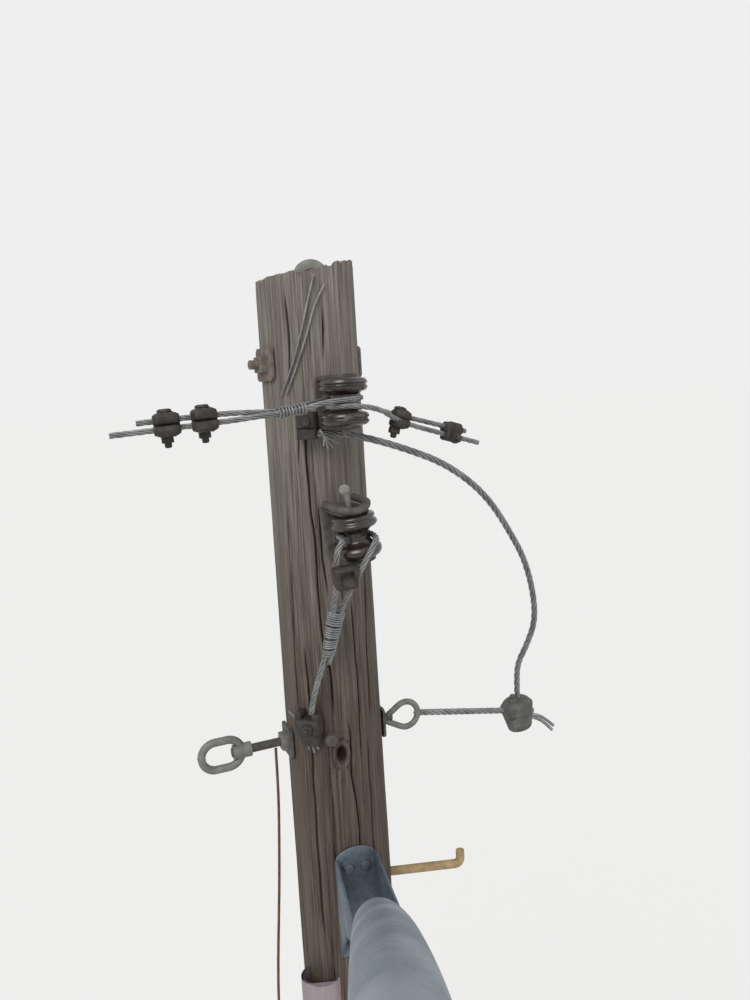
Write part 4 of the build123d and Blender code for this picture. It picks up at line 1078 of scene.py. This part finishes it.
@dataclass
class LightArm(Builder):
    """The channel bracket with its two long ears, and the swept tube that rises from between them."""

    azimuth: float = -4.0
    web_distance: float = 93.6
    left_ear: float = -40.0
    right_ear: float = 38.0
    left_longer: float = 18.0
    left_flare: float = -4.5
    plate: float = 4.0
    arch_top: float = -1030.0
    ear_top: float = -1054.0
    bottom: float = -1244.0
    bolt_sides: tuple[float, float] = (-17.0, 15.0)
    bolt_levels: tuple[float, float] = (-1066.0, -1222.0)
    tube_azimuth: float = -19.3
    tube_side: float = 49.0
    tube_radius: float = 30.15
    tube_wall: float = 3.9
    tube_line: tuple[tuple[float, float], ...] = (
        (176, -1186), (234.8, -1121), (381.1, -984.6), (536.3, -858.5), (699.7, -743.2), (870.6, -634),
        (1035, -548), (1224.2, -484), (1403.7, -447.5), (1507.8, -436.6), (1926.8, -407.3))

    def place(self) -> Matrix:
        """Frame at the back of the web, its heights measured from the top."""
        return on_shaft(self.azimuth, 0.0, self.web_distance)

    def ear(self, bm: bmesh.types.BMesh, side: float, longer: float = 0.0, flare: float = 0.0) -> None:
        """One ear: a plate whose outline runs out from the web to a blunt nose and back down.

        Args:
            bm: The mesh that it joins.
            side: Millimetres sideways of the middle of its thickness.
            longer: Millimetres that its nose reaches further out.
            flare: Degrees that it leans sideways, away from the tube.
        """
        nose, fall = 146 + longer, longer / 3
        outline = ((0, self.ear_top), (6, -1046), (20, -1044), (nose, -1080 - fall), (nose + 6, -1086 - fall),
                   (nose + 4, -1094 - fall), (66, -1152), (8, -1196), (0, self.bottom))
        verts = self.slab(bm, [(side - self.plate / 2, z, out) for out, z in outline], (self.plate, 0, 0))
        turn = Matrix.Rotation(math.radians(flare), 4, "Y")
        bmesh.ops.rotate(bm, verts=verts, cent=Vector((side, 0, 0)) * MM, matrix=turn)
        self.ease(bm, self.sharp_edges(verts, 1.2), 0.5 * MM)

    def bracket(self) -> None:
        """The web with its arched top, and both ears."""
        bm = bmesh.new()
        middle, half = (self.left_ear + self.right_ear) / 2, (self.right_ear - self.left_ear) / 2
        rise = self.arch_top - self.ear_top
        outline = [(middle + half * math.cos(turn), self.ear_top + rise * math.sin(turn), 0.0)
                   for turn in (math.radians(degrees) for degrees in range(0, 181, 12))]
        outline += [(self.left_ear, self.bottom + 6, 0.0), (self.left_ear + 6, self.bottom, 0.0),
                    (self.right_ear - 6, self.bottom, 0.0), (self.right_ear, self.bottom + 6, 0.0)]
        verts = self.slab(bm, outline, (0, 0, self.plate))
        self.ease(bm, self.sharp_edges(verts, 1.2), 1.2 * MM, 3)
        self.ear(bm, self.left_ear + self.plate / 2, self.left_longer, self.left_flare)
        self.ear(bm, self.right_ear - self.plate / 2)
        # Its zinc is darkened as painted shade.
        self.piece("arm_bracket_plate", bm, Slot.GALVANISED, ["arm_bracket"], self.place(), finish=PAINTED_SHADE_ZINC)

    def bolts(self) -> None:
        """Lag heads on their washers, two at the top of the web and two at its foot."""
        bm = bmesh.new()
        for side in self.bolt_sides:
            for level in self.bolt_levels:
                base, out = Vector((side, level, self.plate)), Vector((0, 0, 1))
                self.bar(bm, base, base + out * 1.8, 11.5, 32, 0.5)
                self.nut(bm, base + out * 1.6, base + out * 8.5, 17.0)
        # The lag heads wear the same zinc darkened as painted shade.
        self.piece("bracket_lag_heads", bm, Slot.GALVANISED, ["bracket_bolts"], self.place(), finish=PAINTED_SHADE_ZINC)

    def tube(self) -> None:
        """The swept tube, with its wall at both ends."""
        place = on_shaft(self.tube_azimuth, 0.0, 0.0, self.tube_side)
        line = self.smooth_path([place @ (Vector((0, z, out)) * MM) for out, z in self.tube_line], 9)
        bm = bmesh.new()
        self.sweep(bm, line, self.tube_radius * MM, 56)
        caps = [f for f in bm.faces if len(f.verts) > 8]
        bmesh.ops.inset_region(bm, faces=caps, thickness=self.tube_wall * MM)
        for cap, inward in zip(caps, (line[6] - line[0], line[-7] - line[-1])):
            out = bmesh.ops.extrude_face_region(bm, geom=[cap])["geom"]
            bmesh.ops.delete(bm, geom=[cap], context="FACES_ONLY")
            bmesh.ops.translate(bm, verts=[v for v in out if isinstance(v, bmesh.types.BMVert)], vec=inward)
        self.piece("arm_tube_swept", bm, Slot.GALVANISED, ["arm_tube"])

    def build(self) -> None:
        """Make the bracket, its bolts and the tube."""
        self.bracket()
        self.bolts()
        self.tube()


@dataclass
class MidClevis(Builder):
    """The middle spool in its clevis, both leaning a little, its pin, and the pin of the upper spool."""

    drop: float = 438.0
    stand_off: float = 165.0
    side: float = 6.0
    lean: float = 7.0
    half_height: float = 37.0
    ear_width: float = 54.0
    ear_thickness: float = 6.0
    profile: tuple[tuple[float, float], ...] = (
        (9, 37), (31, 37), (36, 34.5), (37, 31), (35, 28), (35.4, 26), (39, 23), (39.5, 19), (37, 15.5), (29, 12),
        (23, 7), (22, 0), (23, -8), (28, -13), (36, -16), (39.5, -21), (39.5, -28), (36, -34), (30, -37), (9, -37))

    def place(self) -> Matrix:
        """Frame at the spool's middle: X sideways, Y up its axis, Z outward."""
        lean = Matrix.Rotation(math.radians(self.lean), 4, "Z")
        return on_shaft(0.0, self.drop, self.stand_off, self.side) @ lean

    def spool(self) -> None:
        """The spool, its profile spun round its axis."""
        bm = bmesh.new()
        line = [bm.verts.new(Vector((radius, height, 0)) * MM) for radius, height in self.profile]
        edges = [bm.edges.new(pair) for pair in zip(line, line[1:])]
        bmesh.ops.spin(bm, geom=line + edges, cent=(0, 0, 0), axis=(0, 1, 0), angle=math.tau, steps=64,
                       use_merge=True)
        self.ease(bm, [e for e in bm.edges if e.calc_face_angle(0.0) > 0.25], 1.2 * MM)
        self.piece("mid_spool_glazed", bm, Slot.PORCELAIN, ["mid_spool"], self.place(), smooth=50.0)

    def clevis(self) -> None:
        """The strap behind the spool, the raised horseshoe of the top ear and the flat lower ear."""
        bm = bmesh.new()
        back = 92.0 - self.stand_off
        half, thick = self.ear_width / 2, self.ear_thickness
        top = self.half_height + thick / 2 + 1
        self.box(bm, (self.ear_width, 2 * top + 12, thick), (-6, 1, back + thick / 2 + 2), 2.2)
        for level in (top, -top):
            self.box(bm, (self.ear_width, thick, -back - 2), (0, level, back / 2), 1.6)
            self.bar(bm, (0, level - thick / 2, 0), (0, level + thick / 2, 0), half, 40, 1.6)
        arch = [(half * math.cos(turn), 3.5 + 7.5 * math.cos(turn) ** 2, -half * math.sin(turn) * 0.96)
                for turn in (math.radians(degrees) for degrees in range(-180, 1, 12))]
        arch = [(-half, 12, -52), (-half, 12, -25), *arch, (half, 13, -25), (half, 13, -52)]
        line = self.smooth_path([Vector((x, top + up, out)) * MM for x, up, out in arch], 3)
        self.sweep(bm, line, 7.0 * MM, 14)
        self.piece("mid_clevis_strap", bm, Slot.GALVANISED, ["mid_clevis"], self.place(), finish=WEATHERED_STEEL)

    def pin(self) -> None:
        """The pin through both ears, with a round flat head that faces the front."""
        bm = bmesh.new()
        top = self.half_height + self.ear_thickness
        self.bar(bm, (0, -top - 12, 0), (-5, top + 32, 0), 4.4, 20, 0.8)
        middle = Vector((-6, top + 36, 0))
        out = Vector((-0.3, 0.1, 1.0)).normalized()
        self.bar(bm, middle - out * 3.5, middle + out * 3.5, 9.0, 32, 1.4)
        self.piece("mid_clevis_pin_eye", bm, Slot.GALVANISED, ["mid_clevis_pin"], self.place(),
                   finish=DULL_FORGING)

    def upper_pin(self) -> None:
        """The upper spool's pin, with a button at the top and its lug low at the front."""
        bm = bmesh.new()
        line = below_top([(0, -165, -178), (0, -165, -270), (-6, -192, -246), (-6, -199, -252)])
        self.rod(bm, line[0], line[1], 7.5 * MM, 24, 1.5 * MM)
        self.rod(bm, line[2], line[3], 12.5 * MM, 32, 3.0 * MM)
        self.piece("upper_clevis_pin_lug", bm, Slot.GALVANISED, ["upper_clevis_pin"], finish=WEATHERED_STEEL)

    def build(self) -> None:
        """Make both pins, the spool and the clevis."""
        self.upper_pin()
        self.spool()
        self.clevis()
        self.pin()


@dataclass
class LoopFittings(Builder):
    """What holds the loop's two legs: the saddle clamp and the turns of tie wire below it."""

    saddle: Point = (-27.0, -194.0, -500.0)
    width: float = 47.0
    height: float = 40.0
    depth: float = 27.0
    top: Point = (-27.5, -137.0, -571.0)
    low: Point = (-41.0, -117.0, -652.0)
    wire: float = 3.4
    pitch: float = 3.604
    gap: float = 2.4
    turn_steps: int = 20
    groups: tuple[int, ...] = (6, 5, 4, 3)
    seed: int = 23

    def clamp(self) -> None:
        """Rounded saddle with a sunk oval in its face, narrower towards the bottom."""
        bm = bmesh.new()
        self.box(bm, (self.width, self.depth, self.height), (0, 0, 0), 8.0, 5)
        faces = sorted(bm.faces, key=lambda f: -f.calc_area() if f.normal.y < -0.9 else 0.0)[:1]
        bmesh.ops.inset_region(bm, faces=faces, thickness=4.0 * MM)
        verts = list(faces[0].verts)
        self.ease(bm, verts, 6.0 * MM, 4, "VERTICES")
        face = min(bm.faces, key=lambda f: f.calc_center_median().y - (0.001 if len(f.verts) > 8 else 0.0))
        bmesh.ops.translate(bm, verts=list(face.verts), vec=(-2.0 * MM, 7.0 * MM, 5.0 * MM))
        bmesh.ops.scale(bm, verts=list(face.verts), vec=(1.15, 1.0, 0.72))
        for vert in bm.verts:
            vert.co.x *= 0.88 + 0.12 * min(1.0, vert.co.z / (self.height / 2 * MM))
        self.nut(bm, (0, self.depth / 2 - 1, -3), (0, self.depth / 2 + 8, -3), 15.0)
        lean = Matrix.Rotation(math.radians(-4.0), 4, "Y")
        self.piece("mid_loop_saddle", bm, Slot.CLAMP, ["mid_loop_clamp"],
                   Matrix.Translation(below_top([self.saddle])[0]) @ lean)

    def serving(self) -> None:
        """Uneven groups of close turns round both legs, each group one helix."""
        rng = np.random.default_rng(self.seed)
        bm = bmesh.new()
        first, last = below_top([self.top, self.low])
        run = last - first
        ahead = run.normalized()
        across = Vector((1, -0.25, 0)).normalized()
        across = (across - ahead * across.dot(ahead)).normalized()
        out = ahead.cross(across)
        gone = 0.0
        total = sum(self.groups) * self.pitch + self.gap * (len(self.groups) - 1)
        for turns in self.groups:
            lean = rng.uniform(-0.16, 0.16)
            path = []
            for step in range(turns * self.turn_steps + 1):
                angle = math.tau * step / self.turn_steps
                share = (gone + step / self.turn_steps * self.pitch) / total
                wide = (14.5 - 5.0 * share) * MM * math.cos(angle)
                deep = (8.2 - 0.6 * share) * MM * math.sin(angle)
                path.append(first + run * share + across * wide + out * deep + ahead * (lean * wide))
            self.sweep(bm, path, self.wire / 2 * MM, 8)
            gone += turns * self.pitch + self.gap
        self.piece("mid_serving_turns", bm, Slot.STRAND, ["mid_serving"])

    def build(self) -> None:
        """Make the clamp and the turns."""
        self.clamp()
        self.serving()


@dataclass
class LowFittings(Builder):
    """The drop-shaped eye, the bolted connector, the tap clamp, the trimmed cable guard and the top eye."""

    eye_line: tuple[tuple[float, float], ...] = (
        (106, -846), (123, -832), (144, -820), (163, -822), (175, -835), (177, -851), (167, -866), (149, -871),
        (129, -862))
    eye_rod: float = 12.0
    connector: tuple[float, float, float] = (-43.0, 792.0, 92.5)
    tap: Point = (414.0, 0.0, -900.0)
    tap_lean: float = -9.0
    guard_top: float = -1302.0
    guard_cut: Point = (0.05, 0.1, 1.0)
    top_eye_sink: float = 8.0

    def cad_copy(self, name: str) -> bmesh.types.BMesh:
        """A bmesh copy of a CAD node's mesh, at its place."""
        node = frame["nodes"][name]
        bm = bmesh.new()
        bm.from_mesh(node.data)
        bmesh.ops.transform(bm, matrix=node.matrix_world, verts=bm.verts)
        return bm

    def eye(self) -> None:
        """Round rod bent to a drop, with its neck at the washer."""
        bm = bmesh.new()
        ring = below_top([(x, 0.0, z) for x, z in self.eye_line])
        self.sweep(bm, self.smooth_path(ring, 8, True), self.eye_rod / 2 * MM, 18, True)
        ends = below_top([(94, 0, -842), (113, 0, -845)])
        self.rod(bm, ends[0], ends[1], 7.5 * MM, 24, 1.0 * MM, 5.5 * MM)
        self.piece("right_eye_drop", bm, Slot.GALVANISED, ["right_eye"], finish=DULL_FORGING)

    def bolted_connector(self) -> None:
        """Small dark connector: a jaw with two horns at the top, a tapered foot and its bolt."""
        bm = bmesh.new()
        for size, centre, easing in (((42, 30, 28), (0, 4, 15), 6.0), ((32, 26, 22), (2, -17, 13), 6.0),
                                     ((13, 20, 24), (-14, 21, 14), 4.5), ((12, 17, 22), (14, 20, 14), 4.5)):
            self.box(bm, size, centre, easing, 4)
        self.nut(bm, (5, 4, 27), (5, 4, 36), 16.0)
        self.bar(bm, (5, 4, 30), (5, 4, 41), 4.2, 16, 0.8)
        bmesh.ops.scale(bm, verts=bm.verts, vec=(1.14, 1.06, 1.05))
        place = on_shaft(*self.connector)
        self.piece("neutral_connector_body", bm, Slot.CLAMP, ["neutral_connector"], place)
        bm = bmesh.new()
        ends = [(((x, -20, 16), (x * 1.2, -30, 15), (x * 1.6, reach, 11)), 1.8)
                for x, reach in ((-3, -42), (3, -47), (9, -40))]
        for line, radius in (*ends, (((-16, 8, 14), (-30, 13, 6), (-48, 17, -6)), 2.4)):
            self.sweep(bm, self.smooth_path([Vector(at) * MM for at in line], 5), radius * MM, 10)
        self.piece("connector_wire_ends", bm, Slot.STRAND, (), place)

    def tap_clamp(self) -> None:
        """Bell-shaped casting hung on the messenger, with its bolt on top and two wire tails."""
        lean = Matrix.Rotation(math.radians(self.tap_lean), 4, "Y")
        place = Matrix.Translation(below_top([self.tap])[0]) @ lean
        bm = bmesh.new()
        self.bar(bm, (0, 0, -35), (0, 0, 22), 26.0, 40, 5.0, 38.0)
        self.bar(bm, (0, 0, 18), (0, 0, 33), 37.5, 40, 5.0, 26.0)
        bmesh.ops.scale(bm, verts=bm.verts, vec=(1.0, 0.8, 1.0))
        self.box(bm, (40, 18, 24), (-12, -20, -10), 5.0)
        self.nut(bm, (-9, -6, 31), (-9, -6, 41), 19.0)
        self.bar(bm, (-9, -6, 39), (-9, -6, 48), 5.0, 16, 0.8)
        self.piece("tap_clamp_bell", bm, Slot.TAP, ["tap_clamp"], place, finish=DARK_CASTING)
        bm = bmesh.new()
        for x, drop in ((0, 0), (4, 9)):
            line = below_top([(436, -3, -906 - drop / 2), (468, -6, -918 - drop), (498 - x, -9, -944 - drop)])
            self.sweep(bm, self.smooth_path(line, 5), 3.4 * MM, 12)
        self.piece("tap_wire_tails", bm, Slot.STRAND)

    def guard(self) -> None:
        """Cable guard with its upper end cut where the photograph has it."""
        bm = self.cad_copy("cable_guard")
        level = below_top([(0, 0, self.guard_top)])[0]
        cut = bmesh.ops.bisect_plane(bm, geom=[*bm.verts, *bm.edges, *bm.faces], plane_co=level,
                                     plane_no=self.guard_cut, clear_outer=True)
        bmesh.ops.contextual_create(bm, geom=[e for e in cut["geom_cut"] if isinstance(e, bmesh.types.BMEdge)])
        self.piece("cable_guard_trimmed", bm, Slot.GUARD, ["cable_guard"])

    def top_eye(self) -> None:
        """The eye on the top, pressed a little further into the wood."""
        bm = self.cad_copy("top_eye")
        bmesh.ops.remove_doubles(bm, verts=bm.verts, dist=0.001 * MM)
        bmesh.ops.translate(bm, verts=bm.verts, vec=(0, 0, -self.top_eye_sink * MM))
        self.piece("top_eye_seated", bm, Slot.GALVANISED, ["top_eye"], finish=DULL_FORGING)

    def build(self) -> None:
        """Make the five fittings."""
        self.top_eye()
        self.eye()
        self.bolted_connector()
        self.tap_clamp()
        self.guard()


@dataclass
class SpoolWraps(Builder):
    """Thin wire round the upper spool's waist and the left wires, and the loose ends at the clamp below."""

    spool_y: float = -165.0
    waist: float = 22.0
    wire: float = 3.4
    turns: float = 4.0
    turn_steps: int = 40
    drop: float = 224.0
    bundle: tuple[Point, Point] = ((-118, -182, -230), (-72, -184, -224))
    bundle_size: tuple[float, float] = (11.0, 8.0)
    bundle_turns: int = 9
    bundle_steps: int = 18
    frayed: tuple[Point, ...] = ((-24, -117, -289), (-16, -118, -296), (-8, -119, -294), (0, -124, -286))

    def waist_turns(self) -> None:
        """A round section carried along a helix by one spin."""
        bm = bmesh.new()
        first = (self.waist + self.wire / 2, self.spool_y, -self.drop - self.turns * self.wire / 2)
        start, axis = below_top([first, (0, self.spool_y, 0)])
        place = Matrix.Translation(start) @ Matrix.Rotation(math.radians(90), 4, "X")
        made = bmesh.ops.create_circle(bm, cap_ends=True, radius=self.wire / 2 * MM, segments=10,
                                       matrix=place)["verts"]
        steps = int(self.turn_steps * self.turns)
        bmesh.ops.spin(bm, geom=list({f for v in made for f in v.link_faces}), cent=axis, axis=(0, 0, 1),
                       dvec=(0, 0, self.wire * self.turns / steps * MM), angle=math.tau * self.turns, steps=steps,
                       use_merge=False, use_duplicate=False)
        self.piece("upper_spool_wraps", bm, Slot.STRAND)

    def bundle_wrap(self) -> None:
        """Open turns of thin wire that draw the left wires together."""
        bm = bmesh.new()
        first, last = below_top(self.bundle)
        path = []
        for step in range(self.bundle_turns * self.bundle_steps + 1):
            angle, share = math.tau * step / self.bundle_steps, step / (self.bundle_turns * self.bundle_steps)
            swell = 1.0 + 0.12 * math.sin(9.0 * share)
            around = Vector((0.15 * math.sin(angle), self.bundle_size[0] * math.cos(angle),
                             self.bundle_size[1] * math.sin(angle)))
            path.append(first.lerp(last, share) + around * swell * MM)
        self.sweep(bm, path, 1.4 * MM, 8)
        self.piece("bundle_wraps", bm, Slot.STRAND)

    def frayed_ends(self) -> None:
        """Loose strands that fan out below the clamp."""
        bm = bmesh.new()
        for end in self.frayed:
            line = below_top([(-26, -108, -262), (-21, -113, -272), end])
            self.sweep(bm, self.smooth_path(line, 5), 1.7 * MM, 8)
        self.piece("frayed_strand_ends", bm, Slot.STRAND)

    def build(self) -> None:
        """Make the turns, the wrap and the loose ends."""
        self.waist_turns()
        self.bundle_wrap()
        self.frayed_ends()


@dataclass
class CadDress:
    """Finishes on the CAD nodes that stay as they are."""

    def build(self) -> None:
        """Dress every node by its slot in the record."""
        slots = {part["node"]: Slot(part["material_slot"]) for part in frame["record"]["subparts"]}
        for name, node in frame["nodes"].items():
            node.data.materials.clear()
            node.data.materials.append(FINISH_OF_NODE.get(name, FINISH_OF[slots[name]]).material())
            log.info("%s: %s", name, slots[name].value)


@dataclass
class Studio:
    """Pale floor, soft light and the camera."""

    eye: Point = (-427.6, -1316.1, 11482.7)
    ahead: Point = (0.375696, 0.917278, -0.132118)
    right: Point = (0.921005, -0.385396, -0.056749)
    above: Point = (0.102973, 0.100361, 0.989608)
    lens: float = 27.04
    floor_size: float = 4000.0
    key: float = 2.0
    fill: float = 0.5
    world: float = 0.5
    backdrop: float = 0.862

    def camera(self) -> None:
        """Camera at the photograph's place."""
        data = bpy.data.cameras.new("camera")
        data.lens = self.lens
        data.clip_start, data.clip_end = 0.05, 9000.0
        camera = bpy.data.objects.new("camera", data)
        bpy.context.scene.collection.objects.link(camera)
        camera.matrix_world = frame_at(Vector(self.eye) * MM, Vector(self.right), Vector(self.above),
                                       -Vector(self.ahead))
        bpy.context.scene.camera = camera

    def floor(self) -> None:
        """Large pale floor at ground level."""
        bm = bmesh.new()
        bmesh.ops.create_grid(bm, x_segments=1, y_segments=1, size=self.floor_size)
        mesh = bpy.data.meshes.new("floor")
        bm.to_mesh(mesh)
        bm.free()
        # Plain matt studio floor, off-white.
        paper = bpy.data.materials.new("studio_floor")
        paper.use_nodes = True
        shader = paper.node_tree.nodes["Principled BSDF"]
        shader.inputs["Base Color"].default_value = linear("#f4f4f3")
        shader.inputs["Roughness"].default_value = 1.0
        shader.inputs["Specular IOR Level"].default_value = 0.0
        mesh.materials.append(paper)
        ground = bpy.data.objects.new("floor", mesh)
        bpy.context.scene.collection.objects.link(ground)

    def lights(self) -> None:
        """A wide key from the upper left of the camera, a weak fill and a pale world."""
        for name, strength, angle, way in (("key", self.key, 35.0, (0.55, 0.62, -0.66)),
                                           ("fill", self.fill, 60.0, (-0.8, 0.5, -0.3))):
            data = bpy.data.lights.new(name, "SUN")
            data.energy = strength
            data.angle = math.radians(angle)
            lamp = bpy.data.objects.new(name, data)
            lamp.rotation_mode = "QUATERNION"
            lamp.rotation_quaternion = Vector(way).to_track_quat("-Z", "Y")
            lamp.location = (-3, -4, 16)
            bpy.context.scene.collection.objects.link(lamp)
        world = bpy.data.worlds.new("studio")
        bpy.context.scene.world = world
        world.use_nodes = True
        tree = world.node_tree
        back = tree.nodes["Background"]
        back.inputs[0].default_value = linear("#ffffff")
        path = add_node(tree, "ShaderNodeLightPath")
        seen = add_node(tree, "ShaderNodeMath", {"operation": "MAXIMUM"},
                        {0: path.outputs["Is Camera Ray"], 1: path.outputs["Is Glossy Ray"]})
        seen = add_node(tree, "ShaderNodeMath", {"operation": "MAXIMUM"},
                        {0: seen.outputs[0], 1: path.outputs["Is Transmission Ray"]})
        strength = add_node(tree, "ShaderNodeMapRange", {1: 0.0, 2: 1.0, 3: self.world, 4: self.backdrop},
                            {0: seen.outputs[0]})
        tree.links.new(strength.outputs[0], back.inputs[1])

    def build(self) -> None:
        """Set the stage."""
        self.camera()
        self.floor()
        self.lights()
        bpy.context.scene.view_settings.view_transform = "Standard"


def main() -> None:
    """Build the dressed pole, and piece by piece."""
    logging.basicConfig(level=logging.INFO, format="%(name)s: %(message)s")
    Studio().build()
    CadDress().build()
    wires = LineWires()
    wires.build()
    LineClamps(wires).build()
    SpoolWraps().build()
    LightArm().build()
    MidClevis().build()
    LoopFittings().build()
    LowFittings().build()
    WoodShaft().build()
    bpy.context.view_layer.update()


if __name__ == "__main__":
    main()
